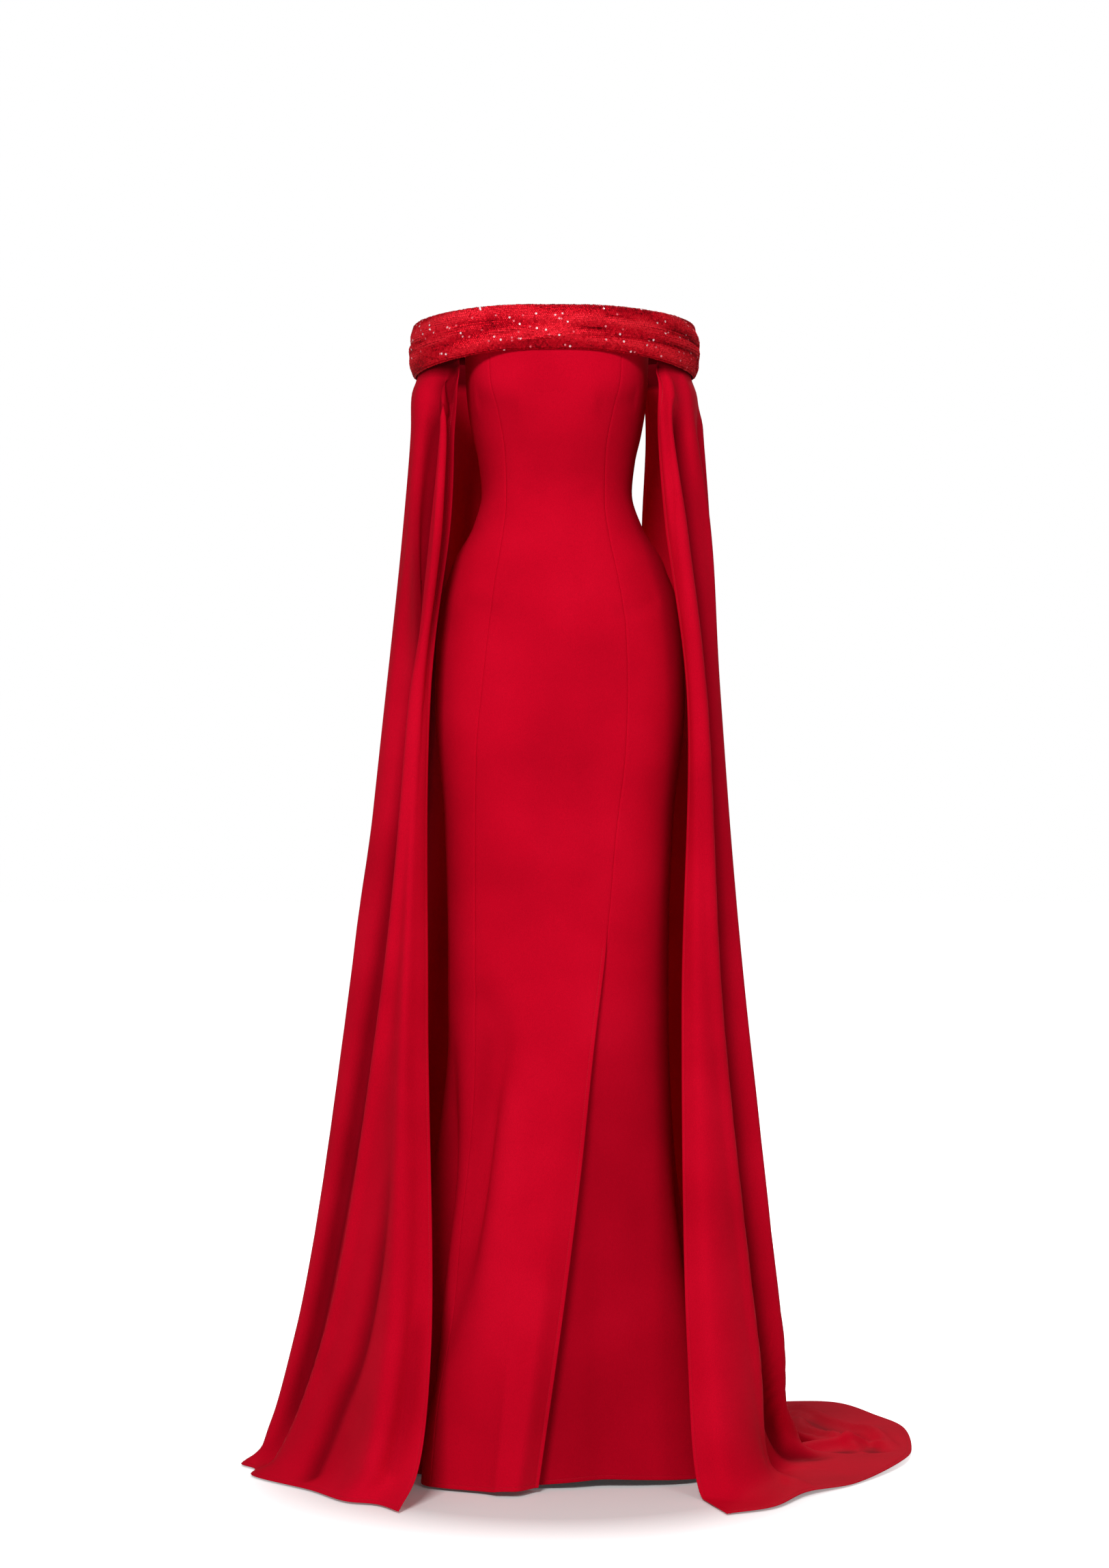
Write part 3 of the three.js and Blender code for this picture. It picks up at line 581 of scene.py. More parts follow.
def add_node(tree, kind, links=None, **settings):
    """Adds a node: links are its inputs joined to other nodes' outputs, settings its own values."""
    node = tree.nodes.new(kind)
    for name, value in settings.items():
        if name in node.inputs.keys():
            node.inputs[name].default_value = value
        else:
            setattr(node, name, value)
    for name, output in (links or {}).items():
        tree.links.new(output, node.inputs[name])
    return node


def new_material(name):
    material = bpy.data.materials.new(name)
    material.use_nodes = True
    return material, material.node_tree


def own_place(tree):
    """The piece's own coordinates, in metres."""
    return add_node(tree, "ShaderNodeTexCoord").outputs["Object"]


def set_surface(tree, values, colour=None, relief=None):
    """Sets the shader's own sockets, and joins a colour and a bump (height, strength, millimetres)."""
    shader = tree.nodes["Principled BSDF"]
    for name, value in values.items():
        shader.inputs[name].default_value = linear(value) if isinstance(value, str) else value
    if colour:
        tree.links.new(colour, shader.inputs["Base Color"])
    if relief:
        height, strength, deep = relief
        bumps = add_node(tree, "ShaderNodeBump", {"Height": height}, Strength=strength, Distance=deep * MM)
        tree.links.new(bumps.outputs["Normal"], shader.inputs["Normal"])


def colour_ramp(tree, factor, *stops):
    ramp = add_node(tree, "ShaderNodeValToRGB", {"Fac": factor})
    elements = ramp.color_ramp.elements
    while len(elements) < len(stops):
        elements.new(0.5)
    for element, (position, colour) in zip(elements, stops):
        element.position = position
        element.color = linear(colour)
    return ramp.outputs["Color"]


def noise(tree, place, size, detail=2.0):
    """A soft random pattern of patches of a size in millimetres."""
    scale = 1 / (size * MM)
    return add_node(tree, "ShaderNodeTexNoise", {"Vector": place}, Scale=scale, Detail=detail).outputs["Fac"]


def multiplied(tree, first, second, share=1.0):
    kind = {"data_type": "RGBA", "blend_type": "MULTIPLY"}
    return add_node(tree, "ShaderNodeMix", {6: first, 7: second}, **kind, Factor=share).outputs[2]


def with_painted_shade(tree, colour, *stops):
    """A colour darkened by the piece's hollow attribute: painted shade in its folds and in deep shade."""
    hollow = add_node(tree, "ShaderNodeAttribute", attribute_name="hollow").outputs["Fac"]
    return multiplied(tree, colour, colour_ramp(tree, hollow, (0.0, "#ffffff"), *stops))


# %% Crepe
PEBBLE, DYE_PATCH = 1.1, 140
# Up to this share the hollow attribute means painted shade in a fold, and beyond it painted deep shade.
FOLD_SHADE_SHARE = 0.5
PAINTED_FOLD_SHADE, PAINTED_DEEP_SHADE = "#b4b4b4", "#555555"


def crepe_material():
    material, tree = new_material("red_crepe")
    place = own_place(tree)
    patches, pebbles = noise(tree, place, DYE_PATCH), noise(tree, place, PEBBLE, 3.0)
    tone = colour_ramp(tree, patches, (0.3, "#c40622"), (0.5, "#cf0725"), (0.7, "#d80a29"))
    grain = colour_ramp(tree, pebbles, (0.35, "#dcdcdc"), (0.65, "#ffffff"))
    dyed = multiplied(tree, tone, grain, 0.5)
    values = {
        "Roughness": 0.66,
        "Specular IOR Level": 0.06,
        "Specular Tint": "#ff2030",
        "Sheen Weight": 0.06,
        "Sheen Roughness": 0.35,
        "Sheen Tint": "#ff1020",
    }
    # Painted shade: the crepe's colour is darkened where its hollow attribute says it lies in a fold or in
    # deep shade.
    colour = with_painted_shade(tree, dyed, (FOLD_SHADE_SHARE, PAINTED_FOLD_SHADE), (1.0, PAINTED_DEEP_SHADE))
    set_surface(tree, values, colour, (pebbles, 0.25, 0.4))
    return material


crepe = crepe_material()
print("crepe with pebbles of", PEBBLE, "mm")

# %% [markdown]
# ## The gown's panels
#
# Each panel is one sheet between two seams. The centre front's left edge is a seam down to the slit's
# top and a free, stitched edge below it, so the close rows beside it serve both. A sheet's own small
# creases come on top of the large folds that the solids have: hollows under the bust, drags from the
# hips and soft dents behind the knees. Each is a path that wanders over the cloth, and the relief
# falls off with the distance to it. One list serves all seven panels, so a crease can cross a seam.

# %% Creases along a path
PATH_PLACES, PATH_FADE = 60, 0.14


def path_relief(places, wide, out, points, nearby=True):
    """A ridge, or a hollow where out is negative, along a line of places. It fades at both ends."""
    shares = np.linspace(0, 1, len(places))
    fades = ease(np.minimum(shares, 1 - shares) / PATH_FADE)
    nearest, strength = np.full(points.shape[:-1], np.inf), np.zeros(points.shape[:-1])
    for start, end, fade, next_fade in zip(places[:-1], places[1:], fades[:-1], fades[1:]):
        step = end - start
        share = np.clip((points - start) @ step / (step @ step), 0, 1)
        away = np.linalg.norm(points - start - share[..., None] * step, axis=-1)
        strength = np.where(away < nearest, mix(fade, next_fade, share), strength)
        nearest = np.minimum(nearest, away)
    return out * strength * bump(nearest, wide) * nearby


def smooth_places(path):
    """Many places on a smooth line through a path's few pairs of numbers."""
    corners = np.array([(*pair, 0) for pair in path], float)
    return smooth_line(corners, np.linspace(0, 1, PATH_PLACES))[:, :2]


GOWN_CREASES = [
    # path as turns in degrees and heights in millimetres, wide, out
    (((-54, 1377), (-40, 1369), (-22, 1365)), 15, -2.2),
    (((22, 1366), (40, 1370), (54, 1379)), 15, -2.2),
    (((-14, 625), (-30, 484), (-36, 342), (-38, 172), (-39, 70)), 16, 3.2),
    (((-51, 590), (-51, 480), (-53, 360), (-54, 180)), 20, -3.0),
    (((-34, 1264), (-20, 1257), (-6, 1255)), 7, -0.9),
    (((8, 1251), (22, 1254), (36, 1262)), 7, -0.9),
    (((-66, 1128), (-50, 1114), (-38, 1106)), 9, -1.2),
    (((36, 1104), (50, 1112), (66, 1126)), 9, -1.2),
    (((-14, 990), (-12, 870), (-9, 750)), 24, -1.2),
    (((18, 940), (19, 840), (22, 740)), 22, -1.2),
    (((-60, 640), (-40, 580), (-22, 500)), 24, -2.2),
    (((150, 990), (160, 940), (169, 890)), 20, -2.6),
    (((-149, 996), (-158, 950), (-168, 900)), 20, -2.6),
    (((136, 1286), (150, 1272), (166, 1264)), 8, -1.3),
    (((-138, 1289), (-152, 1275), (-167, 1268)), 8, -1.3),
    (((128, 706), (144, 668), (160, 640)), 24, -3.2),
    (((-127, 694), (-143, 664), (-158, 648)), 22, -3.2),
    (((98, 1186), (88, 1160), (80, 1140)), 10, -1.3),
    (((-99, 1180), (-90, 1152), (-82, 1136)), 10, -1.3),
]
gown_paths = []
for path, wide, out in GOWN_CREASES:
    places = smooth_places(path)
    gown_paths.append((gown_point(np.radians(places[:, 0]), places[:, 1]), wide, out))
print(len(gown_paths), "creases on the gown")


# %% Creases across the band
CREASE_FADE = 0.3


def crease_relief(creases, u, v, u_size, v_size):
    """Short ridges, or troughs where out is negative. Each runs from one (u, v) to another, and the
    two sizes are the millimetres that one unit of u or v spans on the cloth."""
    relief = 0 * u
    for start, end, wide, out in creases:
        du, dv = (end[0] - start[0]) * u_size, (end[1] - start[1]) * v_size
        length = math.hypot(du, dv)
        from_u, from_v = (u - start[0]) * u_size, (v - start[1]) * v_size
        along = (from_u * du + from_v * dv) / length**2
        off = (from_u * dv - from_v * du) / length
        relief = relief + out * ease(np.minimum(along, 1 - along) / CREASE_FADE) * bump(off, wide)
    return relief


# %% [markdown]
# ## Stitches
#
# A stitched hem shows a row of short threads, five millimetres in from the edge, each sunk a little in
# its own dent. Each thread here is a tiny rod of five sides. Real ones are finer and closer, and these
# are drawn a little coarse so that a close view still shows them.

# %% Sewing thread
THREAD_RADIUS, THREAD_TWIST, THREAD_SIDES = 0.2, 0.5, 5
STITCH_LONG, STITCH_PITCH = 2.0, 3.0
# A free side is stitched from this share of its length down: a sleeve's from just inside the band, and
# the two edges of the slit from its top.
SLEEVE_STITCHES_FROM = 0.12
STITCHES_FROM = {"centre_front_stitches": 0.53, "left_side_front_stitches": 0.56}
ROWS_TO_STITCH = EDGE_STEPS["hem"].index(STITCH_FROM_EDGE)


def thread_material():
    """Spun polyester thread, dyed to match. It is rounder and a little glossier than the crepe."""
    material, tree = new_material("polyester_thread")
    place = own_place(tree)
    twist = noise(tree, place, THREAD_TWIST)
    tone = colour_ramp(tree, twist, (0.3, "#a8041c"), (0.7, "#c80a26"))
    set_surface(tree, {"Roughness": 0.5, "Specular IOR Level": 0.3}, tone)
    return material


thread = thread_material()


def joined_copies(name, shape, faces, centres, axes, material, slot):
    """One mesh of many small turned copies of a shape. The axes are each copy's three directions."""
    points = centres[:, None, :] + np.einsum("pk,nkj->npj", shape, axes)
    all_faces = [[i + n * len(shape) for i in face] for n in range(len(centres)) for face in faces]
    mesh = bpy.data.meshes.new(name)
    mesh.from_pydata(to_frame(points.reshape(-1, 3)).tolist(), [], all_faces)
    piece = new_object(name, mesh)
    piece.data.materials.append(material)
    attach(piece, "gown")
    triangles_made[name] = sum(len(face) - 2 for face in all_faces)
    print(name, "has", len(centres), "copies and", triangles_made[name], "triangles")
    return piece


def shape_of(solid):
    """A small bmesh as an array of points and a list of faces. Solidify lists the faces round a rim in
    an order that varies, so the list is sorted, with each face from its lowest number on."""
    solid.verts.index_update()
    points = np.array([vertex.co for vertex in solid.verts])
    faces = [[vertex.index for vertex in face.verts] for face in solid.faces]
    faces = sorted(face[face.index(min(face)) :] + face[: face.index(min(face))] for face in faces)
    solid.free()
    return points, faces


def rod(radius, long, sides):
    """A closed rod along X, in millimetres."""
    solid = bmesh.new()
    bmesh.ops.create_cone(solid, cap_ends=True, segments=sides, radius1=radius, radius2=radius, depth=long)
    bmesh.ops.rotate(solid, verts=solid.verts, matrix=Matrix.Rotation(math.pi / 2, 3, "Y"))
    return shape_of(solid)


def stitch_line(points, outs):
    """Places, ways along and ways out of the stitches on one row of points."""
    along = lengths_along(points)
    places = np.arange(STITCH_PITCH, along[-1] - STITCH_PITCH, STITCH_PITCH)

    def read(at, values):
        return np.stack([np.interp(at, along, values[:, k]) for k in range(3)], -1)

    middle, ahead = read(places, points), read(places + STITCH_LONG / 2, points)
    out = unit(read(places, outs))
    forward = unit(ahead - middle)
    out = unit(out - np.sum(out * forward, -1, keepdims=True) * forward)
    return middle + out * (SHEET_THICKNESS / 2 + THREAD_RADIUS / 2), forward, out


def sew_edges(name, laid, points, left, right):
    """Stitches along a cloth's hem and its free sides. A free side of a panel starts at the slit's top."""
    outs = ways_out(points)
    row, first, last = -1 - ROWS_TO_STITCH, ROWS_TO_STITCH, -1 - ROWS_TO_STITCH
    lines = [stitch_line(points[row], outs[row])]
    for side, kind in ((first, left), (last, right)):
        if kind == "hem":
            free = laid["v"][:, side] > STITCHES_FROM.get(name, SLEEVE_STITCHES_FROM)
            lines.append(stitch_line(points[free, side], outs[free, side]))
    places, forward, out = (np.concatenate(parts) for parts in zip(*lines))
    axes = np.stack([forward, np.cross(out, forward), out], 1)
    shape, faces = rod(THREAD_RADIUS, STITCH_LONG, THREAD_SIDES)
    return joined_copies(name, shape, faces, places, axes, thread, "crepe")


print("thread", 2 * THREAD_RADIUS, "mm thick, a stitch each", STITCH_PITCH, "mm")

# %% Sew the panels
PANELS = [
    # name, node, from seam, to seam, columns, width and area of the cut
    ("centre_front", "centre_front_panel", "right", "left", 54, 0.29, 0.25),
    ("right_side_front", "side_front_panel_right", "right side", "right", 40, 0.22, 0.165),
    ("left_side_front", "side_front_panel_left", "underlap", "left side", 54, 0.36, 0.28),
    ("left_side_back", "side_back_panel_left", "left side", "left back", 48, 0.33, 0.21),
    ("left_centre_back", "centre_back_panel_left", "left back", "centre back left", 30, 0.18, 0.13),
    ("right_centre_back", "centre_back_panel_right", "centre back right", "right back", 30, 0.18, 0.135),
    ("right_side_back", "side_back_panel_right", "right back", "right side", 46, 0.31, 0.21),
]
PANEL_ROWS, PANEL_CUT_LENGTH = 226, 1.47
SLIT_EDGES = ("left", "underlap")
# Below the slit's top its edges turn from seams to hems, and the other seams are pressed flatter.
SLIT_BLEND, SEAM_BLEND = 30, 200
PANEL_HOLLOW_FULL_AT = 14
# Painted shade: the underlap is darkened for the shade of the flap above it.
UNDERLAP_SHADE, SHADE_ABOVE_SLIT, SHADE_FADE, SHADE_UNTIL, SHADE_SIDE_FADE = 0.42, 20, 300, 0.85, 0.3

for name, node, start, end, columns, cut_width, cut_area in PANELS:
    surface = panel_surface(start, end, front_lift if start == "right" else None)
    left, right = ("hem" if seam in SLIT_EDGES else "seam" for seam in (start, end))
    laid = laid_out(surface, columns, PANEL_ROWS, left, right, "plain", "hem")
    under_slit = SLIT_TOP - laid["points"][..., 2]
    flatter = mix(1, LOW_SEAM_SHARE, ease(under_slit / SEAM_BLEND))
    relief = edge_relief(laid["to_hem"], "hem")
    for distance, kind in ((laid["from_left"], left), (laid["to_right"], right)):
        below = ease(under_slit / SLIT_BLEND) if kind == "hem" else 0
        relief = relief + mix(edge_relief(distance, "seam") * flatter, edge_relief(distance, kind), below)
    creased = sum(path_relief(places, wide, out, laid["points"]) for places, wide, out in gown_paths)
    # Painted shade: each panel's colour is darkened along the hollows of its creases.
    hollow = -FOLD_SHADE_SHARE * creased / PANEL_HOLLOW_FULL_AT
    # Painted shade on the underlap: it starts a little above the slit's top and fades out towards the side
    # seam.
    if start == "underlap":
        behind = ease((under_slit + SHADE_ABOVE_SLIT) / SHADE_FADE)
        behind = behind * ease((SHADE_UNTIL - laid["u"]) / SHADE_SIDE_FADE)
        hollow = hollow + FOLD_SHADE_SHARE * UNDERLAP_SHADE * behind
    points = laid["points"] + ways_out(laid["points"]) * (relief + creased)[..., None]
    piece = sheet_mesh(name + "_cloth", points, hollow)
    give_thickness(piece)
    dress(piece, node, crepe)
    stitches = sew_edges(name + "_stitches", laid, points, left, right)

# %% [markdown]
# ## The cape sleeves
#
# The sleeves are the same crepe, hung in deep folds from inside the band. Their free edges and hems
# have narrow stitched folds. The solids carry the deep folds. The sharper ridges, the narrow hollows
# beside them and the ripples of the train are lines that wander over the cloth, so each is a path of
# places on it, and the relief falls off with the distance to that path.

# %% The sleeves' creases
LEFT_CREASES = [
    # path as shares across and down the sleeve, wide, out
    (((0.2, 0.17), (0.2, 0.43), (0.2, 0.5), (0.215, 0.62), (0.225, 0.72), (0.232, 0.78), (0.25, 0.83),
      (0.27, 0.88), (0.24, 0.94), (0.19, 0.99)), 9, 7),
    (((0.318, 0.26), (0.328, 0.32), (0.33, 0.36), (0.325, 0.42), (0.33, 0.47), (0.345, 0.5),
      (0.35, 0.62), (0.356, 0.716), (0.36, 0.753), (0.37, 0.79), (0.39, 0.83), (0.4, 0.86),
      (0.4, 0.89)), 17, -13),
    (((0.35, 0.7), (0.357, 0.75), (0.367, 0.79), (0.388, 0.83), (0.398, 0.86), (0.398, 0.89),
      (0.42, 0.915), (0.44, 0.94)), 13, -9),
    (((0.3, 0.8), (0.31, 0.84), (0.325, 0.88), (0.29, 0.93), (0.22, 0.985)), 12, 7),
    (((0.04, 0.06), (0.09, 0.18), (0.13, 0.27), (0.165, 0.35), (0.15, 0.46)), 5, -5.5),
    (((0.02, 0.1), (0.09, 0.29), (0.1, 0.37), (0.085, 0.48)), 5, 3),
    (((0.15, 0.12), (0.23, 0.24), (0.36, 0.27), (0.4, 0.31), (0.41, 0.42)), 8, 3),
    (((0.38, 0.1), (0.413, 0.26), (0.433, 0.35), (0.43, 0.55)), 7, 2),
    (((0.42, 0.55), (0.417, 0.7), (0.417, 0.8), (0.425, 0.85), (0.47, 0.885), (0.55, 0.91), (0.6, 0.94),
      (0.59, 0.965), (0.5, 0.99)), 11, 11),
    (((0.46, 0.72), (0.5, 0.83), (0.57, 0.88), (0.63, 0.91), (0.64, 0.93)), 11, -10),
    (((0.48, 0.81), (0.6, 0.87), (0.68, 0.905), (0.7, 0.93)), 11, 5),
    (((0.93, 0.965), (0.84, 0.948), (0.749, 0.937), (0.66, 0.94), (0.575, 0.954), (0.5, 0.965)), 9, 8),
    (((0.9, 0.95), (0.8, 0.953), (0.7, 0.952), (0.6, 0.965), (0.52, 0.976)), 8, -7),
    (((0.95, 0.975), (0.88, 0.968), (0.804, 0.965), (0.7, 0.969), (0.607, 0.978), (0.53, 0.988)), 8, 7),
    (((0.46, 0.9), (0.52, 0.935), (0.54, 0.96), (0.5, 0.98)), 12, -9),
    (((0.62, 0.25), (0.64, 0.5), (0.66, 0.8)), 13, 5),
    (((0.75, 0.2), (0.72, 0.5), (0.74, 0.86)), 14, -7),
    (((0.88, 0.3), (0.86, 0.6), (0.89, 0.9)), 12, 5),
    (((0.55, 0.3), (0.56, 0.55), (0.54, 0.75)), 10, -5),
]
RIGHT_CREASES = [
    (((0.91, 0.08), (0.86, 0.18), (0.816, 0.278), (0.756, 0.347), (0.745, 0.42), (0.75, 0.49),
      (0.72, 0.56), (0.68, 0.63), (0.65, 0.7), (0.636, 0.78), (0.62, 0.85), (0.6, 0.9),
      (0.56, 0.96)), 9, 7),
    (((0.84, 0.04), (0.83, 0.14), (0.782, 0.278), (0.713, 0.356), (0.699, 0.413), (0.685, 0.463),
      (0.65, 0.51), (0.56, 0.57), (0.53, 0.63), (0.512, 0.7), (0.505, 0.75), (0.503, 0.8),
      (0.497, 0.85), (0.485, 0.93)), 16, -13),
    (((0.93, 0.04), (0.92, 0.2), (0.912, 0.3), (0.905, 0.38), (0.915, 0.45), (0.93, 0.58)), 9, -9),
    (((0.87, 0.06), (0.858, 0.2), (0.842, 0.3), (0.84, 0.38), (0.86, 0.46), (0.88, 0.56)), 7, 3.5),
    (((0.64, 0.16), (0.58, 0.34), (0.56, 0.43), (0.507, 0.5), (0.49, 0.62)), 14, 5),
    (((0.89, 0.68), (0.868, 0.76), (0.86, 0.79), (0.855, 0.84), (0.85, 0.92)), 16, 4),
    (((0.93, 0.75), (0.92, 0.81), (0.905, 0.84), (0.88, 0.9)), 13, -5),
    (((0.77, 0.7), (0.725, 0.79), (0.705, 0.83), (0.7, 0.88), (0.715, 0.98)), 14, -8),
    (((0.44, 0.6), (0.43, 0.75), (0.45, 0.9)), 14, 5),
    (((0.38, 0.2), (0.36, 0.5), (0.37, 0.9)), 12, -6),
    (((0.3, 0.25), (0.29, 0.5), (0.27, 0.9)), 13, 5),
    (((0.2, 0.3), (0.19, 0.6), (0.18, 0.9)), 12, -6),
    (((0.08, 0.35), (0.09, 0.6), (0.1, 0.92)), 11, 4),
]
print(len(LEFT_CREASES), "creases on the left sleeve and", len(RIGHT_CREASES), "on the right one")


# %% Hang the sleeves
SLEEVES = [
    # name, node, lines, creases, columns, width, length and area of the cut
    ("left_sleeve", "cape_sleeve_left", LEFT_SLEEVE, LEFT_CREASES, 130, 1.10, 1.58, 0.67),
    ("right_sleeve", "cape_sleeve_right", RIGHT_SLEEVE, RIGHT_CREASES, 140, 1.05, 1.50, 0.68),
]
SLEEVE_ROWS = 240
FLOOR_CLEAR = 0.6
SLEEVE_HOLLOW_FULL_AT = 9
# A crease that runs down a sleeve stays within this share of its width, and a crease that runs across
# it, with this many times more width than length, doesn't need the limit.
SIDEWAYS, ACROSS = 0.16, 3.5
# Where a sleeve lies inside the band, hardly any light falls on it, and that shade is painted into its
# colour.
BAND_SHADE, BAND_SHADE_END, BAND_SHADE_FADE = 1.7, 0.135, 0.04

for name, node, rows, creases, columns, cut_width, cut_length, cut_area in SLEEVES:
    surface = sleeve_surface(rows)
    laid = laid_out(surface, columns, SLEEVE_ROWS, "hem", "hem", "plain", "hem")
    relief = sum(edge_relief(laid[edge], "hem") for edge in ("from_left", "to_right", "to_hem"))
    creased = 0 * relief
    for path, wide, out in creases:
        shares = smooth_places(path)
        places = np.array([surface(np.array([[u]]), np.array([[v]]))[0, 0] for u, v in shares])
        nearby = True
        if np.ptp(shares[:, 0]) < ACROSS * np.ptp(shares[:, 1]):
            middle = np.interp(laid["v"], *zip(*sorted(zip(shares[:, 1], shares[:, 0]))))
            nearby = np.abs(laid["u"] - middle) < SIDEWAYS
        creased = creased + path_relief(places, wide, out, laid["points"], nearby)
    points = laid["points"] + ways_out(laid["points"]) * (relief + creased)[..., None]
    points[..., 2] = np.maximum(points[..., 2], FLOOR_CLEAR)
    inside_band = ease((BAND_SHADE_END - laid["v"]) / BAND_SHADE_FADE)
    # Painted shade: darker colour along the creases' hollows and, much darker, inside the band.
    hollow = FOLD_SHADE_SHARE * (np.clip(-creased / SLEEVE_HOLLOW_FULL_AT, 0, 1) + BAND_SHADE * inside_band)
    piece = sheet_mesh(name + "_cloth", points, hollow)
    give_thickness(piece)
    dress(piece, node, crepe)
    stitches = sew_edges(name + "_stitches", laid, points, "hem", "hem")

# %% [markdown]
# ## The band
#
# The band is a strip of sequinned cloth, cut taller than it ends up and gathered at its ends, so that
# soft ridges run round it with narrow valleys between them. Its two long edges are turned in. The
# solids already have the ridges, and the sheet repeats them and adds the sharper valleys.

# %% The band's folds
BAND_FOLDS = [
    # from turn, to turn, start and end as shares of the band's height, wide, out
    (-104, -34, 0.2, 0.62, 0.13, 3.4),
    (-100, -44, 0.44, 0.86, 0.11, 3.2),
    (-96, -8, 0.76, 0.9, 0.12, 2.6),
    (-70, 20, 0.1, 0.5, 0.14, 2.6),
    (-34, 62, 0.72, 0.66, 0.14, 2.8),
    (-12, 100, 0.3, 0.16, 0.14, 3.2),
    (30, 104, 0.62, 0.4, 0.1, 3.4),
    (52, 98, 0.9, 0.64, 0.1, 3.2),
    (84, 150, 0.24, 0.36, 0.13, 3.2),
    (80, 172, 0.56, 0.7, 0.13, 3),
    (122, 236, 0.4, 0.3, 0.14, 2.8),
    (150, 262, 0.78, 0.62, 0.13, 3),
    (204, 268, 0.34, 0.22, 0.12, 3.2),
]
BAND_VALLEYS = [
    # start and end as a turn in degrees and a share of the height, wide, out
    ((-90, 0.64), (-62, 0.49), 2.6, -2.2),
    ((-66, 0.49), (-42, 0.59), 2.4, -1.8),
    ((-56, 0.66), (-26, 0.65), 2.2, -1.5),
    ((-90, 0.46), (-54, 0.33), 2.4, -1.8),
    ((26, 0.78), (46, 0.7), 2.2, -1.8),
    ((40, 0.55), (90, 0.59), 2.4, -2.2),
    ((2, 0.25), (94, 0.41), 2.6, -2.0),
    ((52, 0.65), (78, 0.67), 1.8, -1.4),
    ((-40, 0.35), (-14, 0.48), 2.2, 1.8),
    ((-24, 0.18), (8, 0.33), 2.2, 1.8),
    ((8, 0.5), (34, 0.44), 2.0, -1.6),
    ((96, 0.44), (150, 0.5), 2.4, -1.8),
    ((128, 0.22), (196, 0.18), 2.4, -1.6),
    ((148, 0.58), (226, 0.5), 2.4, -1.8),
    ((214, 0.46), (262, 0.42), 2.4, -1.8),
]
# A degree round the band is 2.6 mm of cloth, and the folds' turns are counted on from the first turn.
DEGREE_SIZE, BAND_HEIGHT, FIRST_TURN, BAND_STEP = 2.6, 62, -110, 0.002
BAND_EDGE_TURN, BAND_EDGE_WIDE, BAND_DEEPEST = 2, 1.8, -1.1
print(len(BAND_FOLDS), "folds and", len(BAND_VALLEYS), "valleys on the band")


def band_edge(turn, front, side, back):
    return mix(np.where(np.cos(turn) > 0, BAND[front], BAND[back]), BAND[side], np.sin(turn) ** 4)


def band_middle(turn, share):
    depth = np.where(np.cos(turn) > 0, BAND["front"], BAND["back"])
    belly = BAND["belly"] * 4 * share * (1 - share)
    radius = oval_radius(turn, BAND["breadth"], depth, BAND["square"]) + belly
    bottom = band_edge(turn, "bottom_front", "bottom_side", "bottom_back")
    top = band_edge(turn, "top_front", "top_side", "top_back")
    x = BAND["sway"] + radius * np.sin(turn)
    return np.stack([x, -radius * np.cos(turn), mix(bottom, top, share)], -1)


def band_gather(turn, share):
    degrees = np.mod(np.degrees(turn) - FIRST_TURN, 360) + FIRST_TURN
    out = 0
    for start_turn, end_turn, start, end, wide, height in BAND_FOLDS:
        along = np.clip((degrees - start_turn) / (end_turn - start_turn), 0, 1)
        line = mix(start, end, ease(along))
        out = out + height * np.sqrt(np.sin(np.pi * along)) * bump(share - line, wide)
    return out + crease_relief(BAND_VALLEYS, degrees, share, DEGREE_SIZE, BAND_HEIGHT)


def band_surface(turn, share):
    """The band's outer face, with its gathers and its turned-in edges."""
    out = np.maximum(band_gather(turn, share), BAND_DEEPEST)
    for edge in (share, 1 - share):
        out = out - BAND_EDGE_TURN * bump(edge * BAND_HEIGHT, BAND_EDGE_WIDE)
    normal = way_out(lambda t, d: band_middle(t, 1 - d), turn, 1 - share, BAND_STEP, BAND_STEP)
    return band_middle(turn, share) + normal * (BAND_CLOTH / 2 + out - SHEET_THICKNESS / 2)[..., None]


# %% [markdown]
# ## Sequinned cloth
#
# Sequins are small cupped discs punched from metallised film. They are sewn on in rows, each leaning a
# little on the next and none quite alike, so their own reflections differ. Their colour carries painted
# light too: sequins in the gathers' valleys are painted darker and those on the ridges lighter, a few are
# painted near-white as glints, and the rest stay a deep red. The base cloth under them is a plain red net on
# crepe.

# %% Base cloth and sequin film
NET_MESH = 1.5
# Tones up to this one are red, and the ones from 0.9 on are painted glints, near-white sequins.
RED_TONES, PAINTED_GLINT_TONES = 0.86, (0.9, 1.0)


def base_cloth_material():
    """A net of 1.5 mm holes on crepe, as matt as the crepe itself."""
    material, tree = new_material("sequin_base_cloth")
    place = own_place(tree)
    holes = add_node(tree, "ShaderNodeTexVoronoi", {"Vector": place}, Scale=1 / (NET_MESH * MM))
    net = holes.outputs["Distance"]
    tone = colour_ramp(tree, net, (0.1, "#9a0616"), (0.6, "#c40c22"))
    values = {"Roughness": 0.6, "Specular IOR Level": 0.06, "Specular Tint": "#ff2030"}
    # Painted shade: the colour goes to the deep shade tone where the hollow attribute is 1, on the back half.
    set_surface(tree, values, with_painted_shade(tree, tone, (1.0, PAINTED_DEEP_SHADE)), (net, 0.4, 0.4))
    return material


